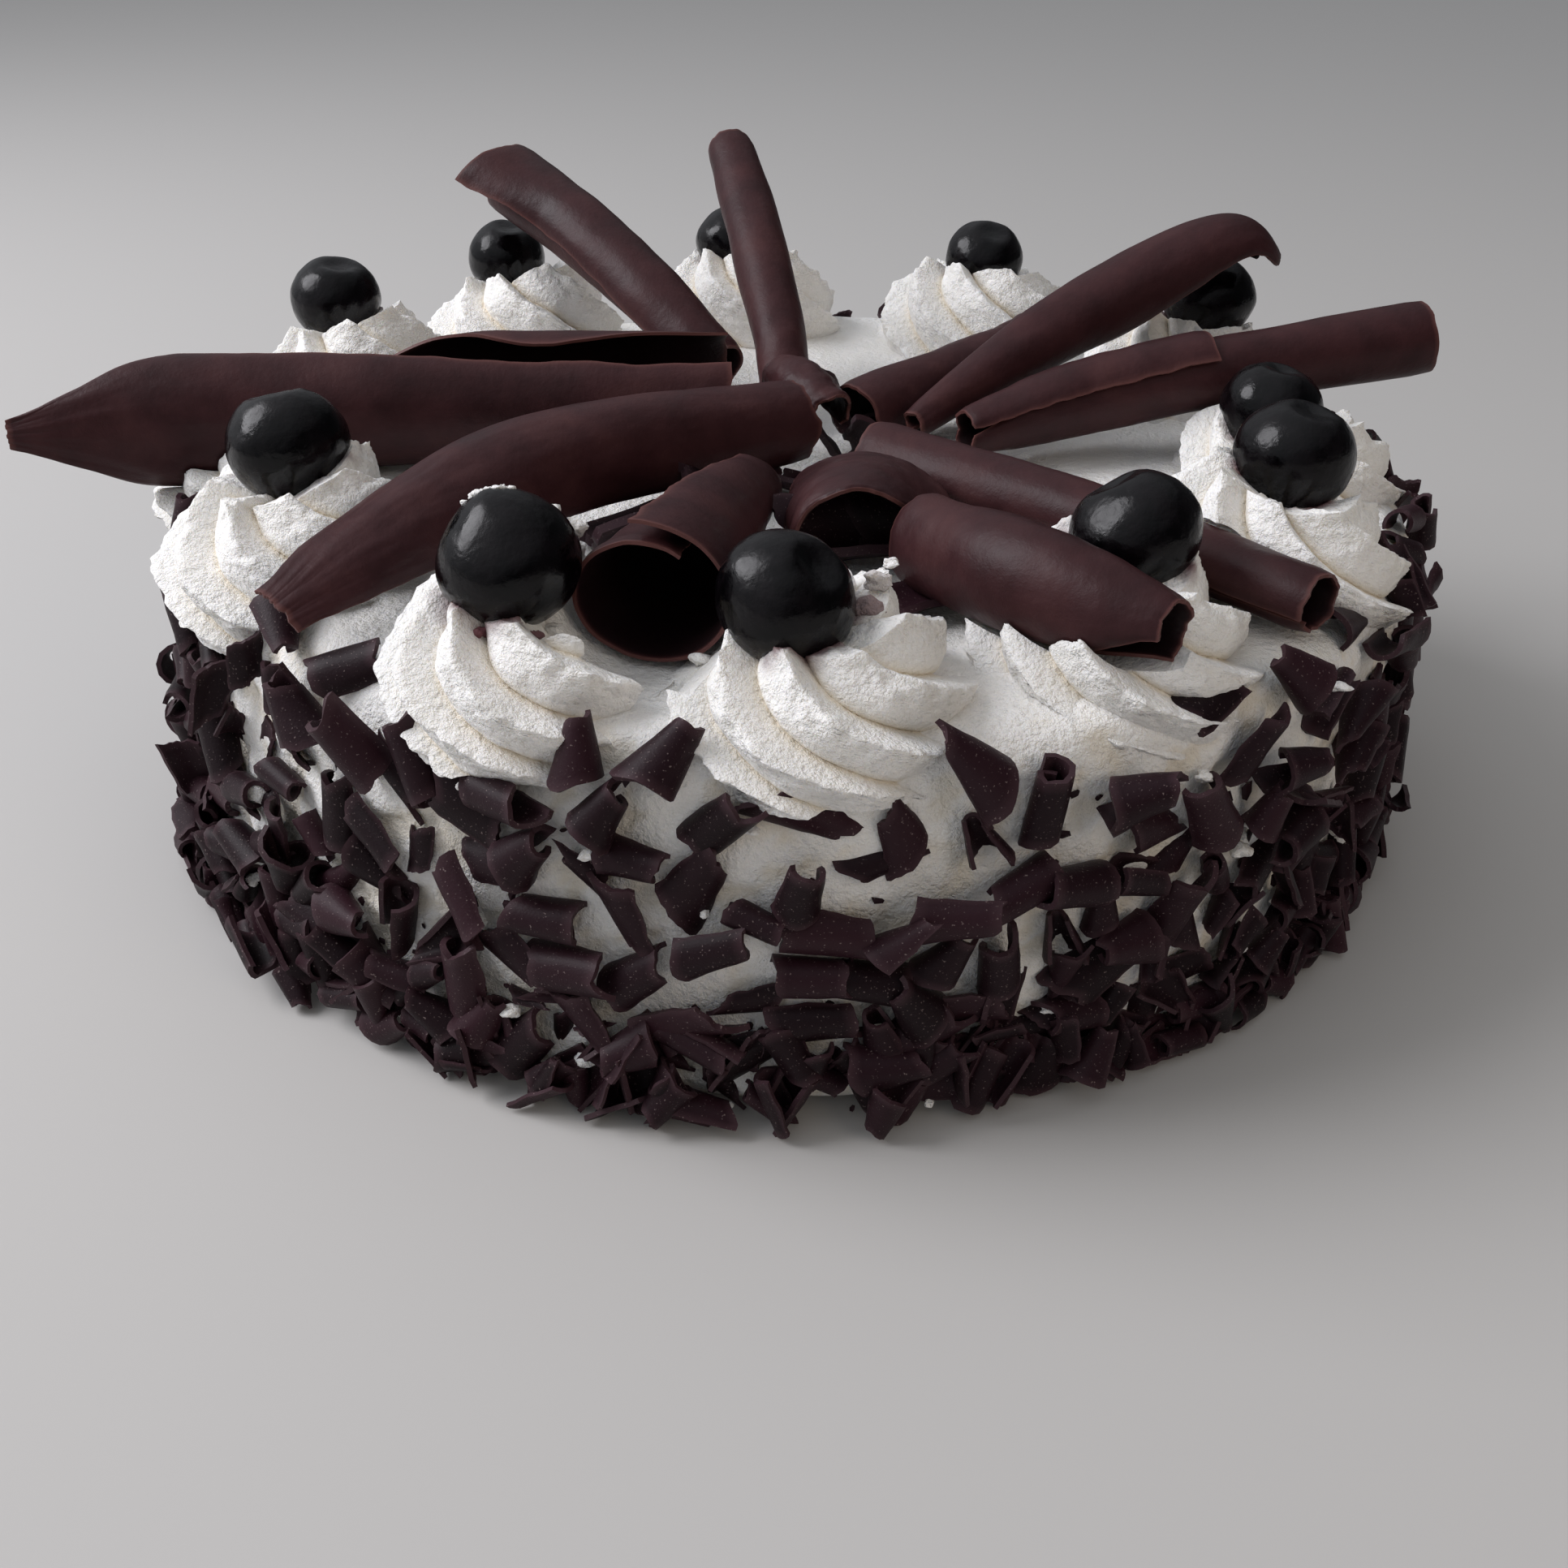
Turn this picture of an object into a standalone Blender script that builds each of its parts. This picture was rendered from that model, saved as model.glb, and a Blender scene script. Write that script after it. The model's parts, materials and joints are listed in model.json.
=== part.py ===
"""A round cake covered in whipped cream, with twelve piped rosettes, eleven dark cherries, a fan of twelve
large chocolate curls on top, and rolled chocolate flakes pressed into its side.

Metres, +Z up. The origin is the middle of the flat underside, and the front of the cake faces -Y.
"""

import math

import bmesh
import bpy
from mathutils import Matrix, Vector

MM = 0.001
UP = Vector((0, 0, 1))

# Driving dimensions. A touching pair of pieces keeps GAP between them.
GAP = 0.3 * MM

DRUM_BASE_RADIUS = 126 * MM
DRUM_TOP_RADIUS = 124 * MM
DRUM_HEIGHT = 70 * MM
DRUM_EDGE_RADIUS = 8 * MM
DRUM_EDGE_STEPS = 4
DRUM_SIDES = 40
LEAN = 5.5 / 70  # the whole cake leans this far to +X for each unit of height

ROSETTE_RIDGES = 7
ROSETTE_TWIST = math.radians(122)
ROSETTE_FOOT = 61 * MM
# Height above ROSETTE_FOOT, radius and ridge depth, as shares of the rosette's own height and radius.
ROSETTE_RINGS = (
    (0.00, 0.88, 0.06),
    (0.27, 0.93, 0.11),
    (0.53, 0.90, 0.16),
    (0.78, 0.73, 0.19),
    (1.00, 0.42, 0.22),
)
# Where the three columns of a ridge lie across it and how high they stand: its furrow, its band and its lip.
RIDGE_COLUMNS = ((0.0, -1.0), (0.42, 0.7), (0.84, 1.0))
ROSETTE_CROWN = 0.05  # how far a ridge stands up at the top ring, as a share of the height
ROSETTE_HOLLOW = 0.85  # height of the middle of the top, as a share of the height
ROSETTE_WIDEST = 1.1  # how far out no flake may come, as a share of the radius
ROSETTE_DROOP = 0.24  # how much lower the rim of a rosette is on its outer side, as a share of the height

CHERRY_SIDES = 9
CHERRY_RINGS = 6
CHERRY_SQUASH = 0.94
CHERRY_FACETED = 1.04  # makes up for what the flat faces take off the ball
CHERRY_PIT = 0.16  # depth of the stem hollow, as a share of the radius

CURL_WALL = 1.3 * MM
CURL_JAG = 1.0 * MM
CURL_TOOL_SIDES = 10
CURL_TOOL_OPEN = 200  # a curl rolled further than this halfway along, in degrees, cuts as a whole tube

FLAKE_COUNT = 57
FLAKE_WALL = 1.0 * MM
FLAKE_TOP = 66 * MM
FLAKE_BITE = 1.2 * MM  # how deep the two edges of a flake go into the cream
FLAKE_CLEARANCE = 1.5 * MM
FLAKE_SPACING = 5.5 * MM
FLAKE_DROPS = (0.0, 4 * MM, 8 * MM)  # how far a flake that touches a rosette or a curl may be moved down
FLAKE_TAPER = 0.28  # how much narrower a flake is at its one end, as a share of its radius
# Steps of the additive sequences that spread the flakes' angles, heights, turns, radii, arcs and skews.
FLAKE_STEPS = (0.5698402910, 0.7548776662, 0.6180339887, 0.4142135624, 0.7320508076, 0.3027756377)

# Angle round the cake in degrees (0 is +X, -90 the front), then ring radius, radius and height in mm.
ROSETTES = (
    (-147.6, 105, 24, 26),
    (-112.0, 107, 23, 25),
    (-86.5, 107, 24, 24),
    (-58.0, 105, 24, 24),
    (-31.0, 106, 24, 26),
    (-3.0, 106, 23, 24),
    (28.0, 108, 24, 27),
    (62.0, 107, 26, 27),
    (95.5, 107, 24, 27),
    (128.0, 107, 24, 27),
    (158.0, 107, 23, 27),
    (186.0, 107, 22, 20),
)

# Middle of each cherry and its radius, in mm. The last rosette carries none: a large curl lies over it.
CHERRIES = (
    (-88.5, -52.0, 91.0, 11.0),
    (-42.4, -98.0, 89.0, 11.6),
    (1.2, -107.0, 87.0, 11.0),
    (59.4, -80.4, 87.3, 11.3),
    (93.5, -48.5, 90.0, 10.9),
    (99.0, -9.5, 86.0, 10.3),
    (99.5, 56.0, 91.5, 10.6),
    (50.4, 94.5, 91.0, 9.8),
    (-13.8, 109.0, 91.0, 9.5),
    (-70.0, 89.5, 91.0, 9.6),
    (-103.0, 47.5, 91.0, 10.2),
)

# Each large curl is a sheet rolled about an axis. axis: points from its inner to its outer end, in mm.
# roll: at a share of the length, the radius in mm and the angles of the sheet's two edges in degrees,
# 0 being straight up and positive to the right when looking outwards. turn: how much the radius shrinks
# in one full turn, in mm. reach: the share of the length that the sheet has at a share of its width.
# flare: how much each edge stands off the roll, and the share of the length where that begins.
# flat: height of the roll over its width. cells: faces along and across.
CURLS = {
    "curl_left_leaf": {
        "axis": ((-11, 3, 84), (-58, -1, 84), (-105, -9, 83.4), (-151, -20, 83)),
        "roll": ((0, 10.9, -38, -335), (0.3, 11.2, -38, -385), (0.6, 11.8, -12, -250),
                 (0.8, 13, -5, -160), (1, 12.5, -72, -88)),
        "turn": -1.6,
        "cells": (8, 9),
    },
    "curl_front_left_leaf": {
        "axis": ((3, -11, 83), (-47, -47, 83.5), (-83, -92, 72)),
        "roll": ((0, 7.5, 85, -160), (0.35, 9.5, 70, -140), (0.6, 10.5, 45, -115), (0.87, 9.5, 35, -80),
                 (1, 8.5, 0, -60)),
        "cells": (8, 7),
    },
    "curl_back_left_scroll": {
        "axis": ((-14, 29, 80.5), (-38, 54, 97.5), (-67, 83, 111)),
        "roll": ((0, 7, -95, 285), (0.5, 8.2, -95, 285), (1, 9, -80, 270)),
        "turn": 2.2,
        "flare": (0.8, 0, 0.75),
        "cells": (5, 12),
    },
    "curl_back_scroll": {
        "axis": ((0, 19, 77), (-1, 34, 86), (-7.5, 64, 103), (-14.2, 91, 117)),
        "roll": ((0, 5.2, 90, -290), (0.6, 6.6, 90, -290), (1, 5.6, 90, -290)),
        "turn": 1.9,
        "cells": (4, 12),
    },
    "curl_right_hook": {
        "axis": ((27, 0, 79), (48, 17, 88), (71, 33, 96), (97, 42, 105.5), (107, 45, 99)),
        "roll": ((0, 3, 150, -190), (0.5, 8.3, 140, -170), (0.72, 8, 100, -120), (1, 6.5, 45, -45)),
        "turn": 1.5,
        "cells": (8, 8),
    },
    "curl_right_short": {
        "axis": ((15, 5.5, 78.7), (46, 34.6, 81.4), (58, 46, 83)),
        "roll": ((0, 7, 120, -220), (1, 7.5, 120, -220)),
        "turn": 1.5,
        "cells": (3, 10),
    },
    "curl_right_long": {
        "axis": ((38, -5, 78.5), (62, 4.7, 82.8), (94, 11.4, 88.3), (138, 20.6, 93.5)),
        "roll": ((0, 5, 60, -280), (0.25, 7.6, 60, -350), (0.45, 8.4, 60, -440), (0.74, 8.6, 60, -540),
                 (1, 9.2, 60, -540)),
        "turn": 1.9,
        "reach": ((0, 0.63), (0.38, 0.63), (0.43, 1), (1, 1)),
        "cells": (4, 16),
    },
    "curl_right_front_scroll": {
        "axis": ((19, -16, 77.6), (57, -50, 77.8), (90.5, -85, 77)),
        "roll": ((0, 7.3, 100, -240), (1, 5.8, 100, -240)),
        "turn": 1.6,
        "cells": (5, 10),
    },
    "curl_front_right_scoop": {
        "axis": ((25, -64, 79.5), (40, -89, 82.8), (61, -108, 82.5)),
        "roll": ((0, 6.9, 165, -175), (0.45, 8.2, 150, -185), (0.62, 8.1, 128, -190), (0.8, 7.2, 100, -190),
                 (1, 4.8, 55, -170)),
        "turn": 1,
        "flat": 1.14,
        "cells": (6, 9),
    },
    "curl_front_scroll": {
        "axis": ((-6.5, -40, 79.5), (-14, -67, 81.5), (-21, -98, 82.8)),
        "roll": ((0, 7.5, 10, -380), (1, 15, 10, -395)),
        "turn": 4,
        "flat": 0.85,
        "cells": (4, 13),
    },
    "curl_front_arch": {
        "axis": ((15.5, -46.5, 68.6), (14.6, -53.5, 74), (13.9, -60.5, 77), (13.5, -66, 77.3)),
        "roll": ((0, 20, 43, -53), (0.33, 15, 62, -71), (0.66, 12, 90, -97), (1, 10.8, 112, -118)),
        "reach": ((0, 1), (0.4, 0.9), (1, 0.74)),
        "cells": (5, 8),
    },
    "curl_centre_scrap": {
        "axis": ((0, 12, 85), (4.5, 4, 85.5), (10, -5, 82)),
        "roll": ((0, 5, 150, -150), (1, 5.5, 110, -130)),
        "turn": 1.5,
        "cells": (3, 8),
    },
}

# The flakes that stand out on the upper front: angle round the cake and height in mm, the turn of the
# roll's axis from level in degrees, length and radius in mm, and the arc of the roll in degrees.
FRONT_FLAKES = (
    (-130, 60, 120, 13, 4.0, 200),
    (-123, 62, 115, 12, 3.3, 260),
    (-119, 61, 115, 11, 4.2, 190),
    (-107, 65, 92, 12, 3.4, 300),
    (-110, 61, 8, 14, 3.3, 240),
    (-101, 63, 57, 12, 4.0, 260),
    (-104, 57, 55, 11, 4.4, 200),
    (-109, 49, 45, 11, 4.2, 250),
    (-115, 52, -30, 14, 6.0, 110),
    (-122, 53, 70, 11, 4.6, 120),
    (-128, 46, 85, 12, 3.2, 240),
    (-96, 57, 50, 13, 3.3, 250),
    (-89, 58, -30, 13, 5.4, 120),
    (-90, 48, 80, 12, 3.8, 170),
    (-85, 57, 60, 9, 3.6, 280),
    (-82, 54, 120, 11, 3.0, 240),
    (-87, 38, -5, 14, 4.2, 170),
    (-79, 62, -45, 14, 4.6, 250),
    (-73, 57, 86, 14, 3.1, 300),
    (-79, 42, 8, 14, 3.9, 180),
    (-70, 45, -15, 12, 4.1, 290),
    (-62, 54, -20, 13, 4.8, 240),
    (-57, 48, 100, 13, 4.6, 200),
)


def clear_scene():
    for obj in list(bpy.data.objects):
        bpy.data.objects.remove(obj, do_unlink=True)


def new_collection(name):
    collection = bpy.data.collections.new(name)
    bpy.context.scene.collection.children.link(collection)
    return collection


def new_material(name, hex_colour, roughness):
    """A Principled material from an sRGB hex colour."""
    channels = [int(hex_colour[i:i + 2], 16) / 255 for i in (0, 2, 4)]
    linear = [c / 12.92 if c <= 0.04045 else ((c + 0.055) / 1.055) ** 2.4 for c in channels]
    material = bpy.data.materials.new(name)
    material.use_nodes = True
    shader = material.node_tree.nodes["Principled BSDF"]
    shader.inputs["Base Color"].default_value = (*linear, 1)
    shader.inputs["Roughness"].default_value = roughness
    shader.inputs["Metallic"].default_value = 0
    return material


def new_object(name, mesh, collection, material=None):
    obj = bpy.data.objects.new(name, mesh)
    collection.objects.link(obj)
    if material:
        mesh.materials.append(material)
    return obj


def mesh_from(bm, name):
    mesh = bpy.data.meshes.new(name)
    bm.to_mesh(mesh)
    bm.free()
    return mesh


def hide_as_tool(obj):
    obj.hide_render = True
    obj.display_type = "WIRE"


def between(rows, share, column):
    """The value of a column of rows at a share, read in straight lines between the rows."""
    for low, high in zip(rows, rows[1:]):
        if share <= high[0]:
            part = (share - low[0]) / (high[0] - low[0])
            return low[column] + (high[column] - low[column]) * max(part, 0)
    return rows[-1][column]


def leaned(point):
    """A point of the upright cake, moved to where the lean puts it."""
    return Vector((point[0] + LEAN * point[2], point[1], point[2]))


# The cream drum


def drum_profile(grow):
    """Outer line of the drum in XZ, from the middle of its top down to the middle of its base."""
    top = DRUM_HEIGHT + grow
    radius = DRUM_TOP_RADIUS + grow
    base = -grow
    points = [Vector((0, 0, top))]
    for step in range(DRUM_EDGE_STEPS + 1):
        angle = math.pi / 2 * (1 - step / DRUM_EDGE_STEPS)
        points.append(Vector((
            radius - DRUM_EDGE_RADIUS * (1 - math.cos(angle)),
            0,
            top - DRUM_EDGE_RADIUS * (1 - math.sin(angle)),
        )))
    points.append(Vector((DRUM_BASE_RADIUS + grow, 0, base)))
    points.append(Vector((0, 0, base)))
    return points


def make_drum(name, collection, grow=0.0):
    """The drum as a turned profile, leaned to +X. grow makes it that much larger all round."""
    points = drum_profile(grow)
    mesh = bpy.data.meshes.new(name)
    mesh.from_pydata(points, [(i, i + 1) for i in range(len(points) - 1)], [])
    obj = new_object(name, mesh, collection)
    screw = obj.modifiers.new("turn", "SCREW")
    screw.steps = DRUM_SIDES
    screw.render_steps = DRUM_SIDES
    screw.use_merge_vertices = True
    screw.merge_threshold = 0.05 * MM
    apply_modifiers(obj)
    for vertex in obj.data.vertices:
        vertex.co = leaned(vertex.co)
    return obj


def apply_modifiers(obj):
    """Turns the object's evaluated mesh into its own mesh."""
    graph = bpy.context.evaluated_depsgraph_get()
    graph.update()
    mesh = bpy.data.meshes.new_from_object(obj.evaluated_get(graph))
    old = obj.data
    materials = list(old.materials)
    obj.modifiers.clear()
    obj.data = mesh
    mesh.name = obj.name
    bpy.data.meshes.remove(old)
    mesh.materials.clear()
    for material in materials:
        mesh.materials.append(material)


def keep_largest(obj):
    """Deletes loose scraps and filled hollows, which leaves the one piece with the most faces."""
    bm = bmesh.new()
    bm.from_mesh(obj.data)
    left = set(bm.verts)
    groups = []
    while left:
        group = {left.pop()}
        frontier = list(group)
        while frontier:
            vertex = frontier.pop()
            for link in vertex.link_edges:
                other = link.other_vert(vertex)
                if other in left:
                    left.remove(other)
                    group.add(other)
                    frontier.append(other)
        groups.append(group)
    groups.sort(key=len)
    scraps = [vertex for group in groups[:-1] for vertex in group]
    bmesh.ops.delete(bm, geom=scraps, context="VERTS")
    bm.to_mesh(obj.data)
    bm.free()
    return len(groups) - 1


def boolean(obj, operation, tool=None, collection=None, solver="EXACT"):
    modifier = obj.modifiers.new("join", "BOOLEAN")
    modifier.operation = operation
    modifier.solver = solver
    if collection:
        modifier.operand_type = "COLLECTION"
        modifier.collection = collection
    else:
        modifier.object = tool
    apply_modifiers(obj)


# Large curls


def axis_frame(curl, share):
    """Point on the axis at a share of its length, with the directions along it, up and to its right."""
    points = [Vector(p) * MM for p in curl["axis"]]
    spans = len(points) - 1
    place = min(max(share, 0), 1) * spans
    first = min(int(place), spans - 1)
    f = place - first
    p1 = points[first]
    p2 = points[first + 1]
    p0 = points[first - 1] if first else p1 * 2 - p2
    p3 = points[first + 2] if first + 2 <= spans else p2 * 2 - p1
    a = p2 - p0
    b = p0 * 2 - p1 * 5 + p2 * 4 - p3
    c = p1 * 3 - p2 * 3 + p3 - p0
    point = (p1 * 2 + a * f + b * f ** 2 + c * f ** 3) / 2
    along = (a + b * 2 * f + c * 3 * f ** 2).normalized()
    up = (UP - along * UP.dot(along)).normalized()
    return point, along, up, along.cross(up)


def curl_section(curl, share):
    """Radius and edge angles of the roll at a share of its length."""
    radius = between(curl["roll"], share, 1) * MM
    return radius, between(curl["roll"], share, 2), between(curl["roll"], share, 3)


def curl_point(curl, length_share, width_share):
    """A point of the rolled sheet, given as a share of its length and of its width."""
    reach = between(curl.get("reach", ((0, 1), (1, 1))), width_share, 1)
    share = length_share * reach
    point, along, up, right = axis_frame(curl, share)
    radius, start, end = curl_section(curl, share)
    swept = (end - start) * width_share
    radius -= curl.get("turn", 0) * MM * abs(swept) / 360
    if "flare" in curl:
        first, last, begin = curl["flare"]
        if begin >= 0:
            grown = max(0, (share - begin) / (1 - begin))
        else:
            grown = max(0, (-begin - share) / -begin)
        rise = first * max(0, 1 - width_share / 0.22) ** 1.5
        rise += last * max(0, 1 - (1 - width_share) / 0.3) ** 1.5
        radius *= 1 + grown * rise
    angle = math.radians(start + swept)
    point += up * radius * curl.get("flat", 1) * math.cos(angle)
    point += right * radius * math.sin(angle)
    torn = math.sin(9 * width_share + len(curl["axis"])) + math.sin(23 * width_share)
    return point + along * torn * CURL_JAG / 2 * (2 * length_share - 1) ** 3


def rolled_sheet(name, place, cells):
    """A flat grid, rolled by moving each vertex to place(length_share, width_share)."""
    bm = bmesh.new()
    bmesh.ops.create_grid(bm, x_segments=cells[0], y_segments=cells[1], size=0.5)
    for vertex in bm.verts:
        vertex.co = place(vertex.co.x + 0.5, vertex.co.y + 0.5)
    return mesh_from(bm, name)


def make_curl(name, curl, collection, material):
    """A curl: its rolled sheet, given a wall."""
    mesh = rolled_sheet(name, lambda u, v: curl_point(curl, u, v), curl["cells"])
    obj = new_object(name, mesh, collection, material)
    wall = obj.modifiers.new("wall", "SOLIDIFY")
    wall.thickness = CURL_WALL
    wall.offset = 0
    apply_modifiers(obj)
    face_outwards(obj)
    return obj


def face_outwards(obj):
    bm = bmesh.new()
    bm.from_mesh(obj.data)
    bmesh.ops.recalc_face_normals(bm, faces=bm.faces)
    bm.to_mesh(obj.data)
    bm.free()


def ring_body(name, rings, first_middle, last_middle):
    """A closed body through rings of as many points each: a circle extruded ring by ring, then capped."""
    sides = len(rings[0])
    bm = bmesh.new()
    bmesh.ops.create_circle(bm, segments=sides, radius=1, cap_ends=False)
    edges = list(bm.edges)
    rows = [sorted(bm.verts, key=turn_of)]
    for _ in rings[1:]:
        made = bmesh.ops.extrude_edge_only(bm, edges=edges)["geom"]
        edges = [g for g in made if isinstance(g, bmesh.types.BMEdge)]
        rows.append(sorted((g for g in made if isinstance(g, bmesh.types.BMVert)), key=turn_of))
    for row, ring in zip(rows, rings):
        for vertex, point in zip(row, ring):
            vertex.co = point
    cap_with_fan(bm, rows[0], first_middle)
    cap_with_fan(bm, rows[-1], last_middle)
    bmesh.ops.triangulate(bm, faces=bm.faces)
    bmesh.ops.recalc_face_normals(bm, faces=bm.faces)
    return mesh_from(bm, name)


def turn_of(vertex):
    return math.atan2(vertex.co.y, vertex.co.x)


def cap_with_fan(bm, row, middle):
    centre = bm.verts.new(middle)
    for vertex, following in zip(row, row[1:] + row[:1]):
        bm.faces.new((vertex, following, centre))


def make_curl_tool(name, curl, collection):
    """The space that a curl takes up, with the inside of its roll, as a solid to cut cream with."""
    margin = CURL_WALL / 2 + GAP
    middle = curl_section(curl, 0.5)
    whole = abs(middle[2] - middle[1]) > CURL_TOOL_OPEN
    rings = []
    lengths = curl["cells"][0]
    for i in range(lengths + 1):
        share = i / lengths
        point, along, up, right = axis_frame(curl, share)
        radius, start, end = curl_section(curl, share)
        radius += max(0, -curl.get("turn", 0)) * MM * abs(end - start) / 360
        beyond = math.degrees(2 * CURL_WALL / radius)
        sweep = abs(end - start) + 2 * beyond
        start = max(start, end) + beyond
        if whole:
            sweep = 360 * (1 - 1 / CURL_TOOL_SIDES)
            start = 0
        radius = radius / math.cos(math.pi / CURL_TOOL_SIDES) + margin
        point += along * (margin + CURL_JAG) * (2 * share - 1)
        ring = []
        for k in range(CURL_TOOL_SIDES):
            angle = math.radians(start - sweep * k / (CURL_TOOL_SIDES - 1))
            height = up * radius * curl.get("flat", 1) * math.cos(angle)
            ring.append(point + height + right * radius * math.sin(angle))
        rings.append(ring)
    first = sum(rings[0], Vector()) / CURL_TOOL_SIDES
    last = sum(rings[-1], Vector()) / CURL_TOOL_SIDES
    obj = new_object(name, ring_body(name, rings, first, last), collection)
    hide_as_tool(obj)
    return obj


# Cherries


def make_cherry(name, row, collection, material, grow=0.0):
    """A slightly flattened ball with a stem hollow at its pole, which leans to a different side on each."""
    x, y, z, radius = row
    bm = bmesh.new()
    bmesh.ops.create_uvsphere(bm, u_segments=CHERRY_SIDES, v_segments=CHERRY_RINGS, radius=1)
    for vertex in bm.verts:
        near_pole = max(0, vertex.co.z - 0.9) / 0.1
        vertex.co.z = vertex.co.z * CHERRY_SQUASH - CHERRY_PIT * near_pole * (grow == 0)
    lean = Matrix.Rotation(math.radians(25 + 17 * math.sin(x)), 4, "X")
    turn = Matrix.Rotation(x + y, 4, "Z")
    size = Matrix.Scale(radius * CHERRY_FACETED * MM + grow, 4)
    place = Matrix.Translation(Vector((x, y, z)) * MM)
    bm.transform(place @ turn @ lean @ size)
    return new_object(name, mesh_from(bm, name), collection, material)


# Rosettes


def rosette_point(radius, height, column, level, ring, depth):
    """A point of a ring. The columns wind up with the ridges, so each stays on its furrow, band or lip."""
    across, ridge = RIDGE_COLUMNS[column % len(RIDGE_COLUMNS)]
    turn = (column // len(RIDGE_COLUMNS) + across) / ROSETTE_RIDGES
    angle = 2 * math.pi * turn - ROSETTE_TWIST * level
    reach = radius * ring * (1 + depth * ridge)
    rise = height * level + height * ROSETTE_CROWN * max(0, level - 0.6) / 0.4 * ridge
    rise *= 1 - ROSETTE_DROOP * math.cos(angle) * ring
    return Vector((reach * math.cos(angle), reach * math.sin(angle), rise))


def make_rosette(name, row, collection, material):
    """A piped swirl: a ring extruded upwards in steps, each turned a little further."""
    angle, ring_radius, radius, height = row
    radius *= MM
    height *= MM
    columns = range(ROSETTE_RIDGES * len(RIDGE_COLUMNS))
    rings = []
    for level, ring_share, depth in ROSETTE_RINGS:
        rings.append([rosette_point(radius, height, column, level, ring_share, depth) for column in columns])
    mesh = ring_body(name, rings, Vector(), UP * height * ROSETTE_HOLLOW)
    round_cake = Matrix.Rotation(math.radians(angle), 4, "Z")
    mesh.transform(Matrix.Translation(rosette_middle(row)) @ round_cake)
    return new_object(name, mesh, collection, material)


def rosette_middle(row):
    """Middle of a rosette's foot."""
    angle = math.radians(row[0])
    return Vector((row[1] * MM * math.cos(angle), row[1] * MM * math.sin(angle), ROSETTE_FOOT))


def near_curl(middle, curl, radius):
    """Whether a curl passes within radius of a point, measured level."""
    for step in range(13):
        point = axis_frame(curl, step / 12)[0]
        reach = curl_section(curl, step / 12)[0]
        if (point - middle).xy.length < radius + reach:
            return True
    return False


# Flakes on the side


def surface_frame(angle, height):
    """Point on the drum's side at an angle and height, with the outward and the sideways direction."""
    edge = DRUM_HEIGHT - DRUM_EDGE_RADIUS
    radius = DRUM_BASE_RADIUS + (DRUM_TOP_RADIUS - DRUM_BASE_RADIUS) * min(height, edge) / edge
    tilt = 0
    if height > edge:
        tilt = min((height - edge) / DRUM_EDGE_RADIUS, math.pi / 2)
        radius -= DRUM_EDGE_RADIUS * (1 - math.cos(tilt))
        height = edge + DRUM_EDGE_RADIUS * math.sin(tilt)
    outward = Vector((math.cos(angle), math.sin(angle), 0))
    normal = outward * math.cos(tilt) + UP * math.sin(tilt)
    return leaned(outward * radius + UP * height), normal, UP.cross(outward)


def flake_mesh(name, angle, height, turn, length, radius, arc, skew, cells):
    """A scrap of thin rolled sheet whose open side faces the cake, with its two edges in the cream."""
    point, normal, side = surface_frame(angle, height)
    climb = normal.cross(side)
    if climb.z < 0:
        climb = -climb
    along = side * math.cos(turn) + climb * math.sin(turn)
    along = (along + normal * skew).normalized()
    across = along.cross(normal).normalized()
    out = across.cross(along)
    middle = point - out * (radius * math.cos(arc / 2) + FLAKE_BITE)

    def place(u, v):
        bend = arc * (v - 0.5)
        cone = radius * (1 - FLAKE_TAPER * u)
        torn = 0.5 + 0.12 * math.sin(5 * bend + 40 * radius / MM)
        return middle + out * cone * math.cos(bend) + across * cone * math.sin(bend) + (
            along * length * (u - 0.5) * 2 * torn
        )

    mesh = rolled_sheet(name, place, cells)
    bm = bmesh.new()
    bm.from_mesh(mesh)
    bmesh.ops.solidify(bm, geom=bm.faces, thickness=FLAKE_WALL)
    bmesh.ops.recalc_face_normals(bm, faces=bm.faces)
    low = min(vertex.co.z for vertex in bm.verts)
    if low < GAP:
        bmesh.ops.translate(bm, verts=bm.verts, vec=UP * (GAP - low))
    bm.to_mesh(mesh)
    bm.free()
    return mesh


def spread_flakes():
    """Angle, height, turn, length, radius, arc, skew and faces of each flake, most densely near the base.

    The places follow an additive sequence that fills the side evenly, and the largest flakes come first.
    """
    rows = [
        (math.radians(a), h * MM, math.radians(t), n * MM, r * MM, math.radians(c), 0.0, (1, 3))
        for a, h, t, n, r, c in FRONT_FLAKES
    ]
    for i in range(FLAKE_COUNT):
        around, level, turn, width, arc, skew = (step * i % 1 for step in FLAKE_STEPS)
        angle = 2 * math.pi * around
        at_sides = 0.5 + 0.5 * math.cos(angle) ** 2  # more flakes reach the rim at the two sides
        size = 1 - i / FLAKE_COUNT
        rows.append((
            angle,
            FLAKE_TOP * level ** (1.9 - 0.9 * at_sides) + 3 * MM,
            math.pi * turn,
            (10 + 4 * size) * MM,
            (3.4 + 1.8 * width) * MM,
            math.radians(150 + 130 * arc),
            0.5 * (skew - 0.5),
            (1, 3),
        ))
    return rows


def clear_of_rosettes(points):
    """Whether no point lies in or just under a rosette."""
    for row in ROSETTES:
        middle = rosette_middle(row)
        reach = row[2] * MM * ROSETTE_WIDEST + FLAKE_CLEARANCE
        for point in points:
            if point.z > middle.z - FLAKE_CLEARANCE and (point - middle).xy.length < reach:
                return False
    return True


def clear_of_curls(points):
    """Whether no point lies in or just outside a large curl."""
    for curl in CURLS.values():
        for step in range(25):
            middle = axis_frame(curl, step / 24)[0]
            reach = curl_section(curl, step / 24)[0] + CURL_WALL + FLAKE_CLEARANCE
            if any((point - middle).length < reach for point in points):
                return False
    return True


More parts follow.
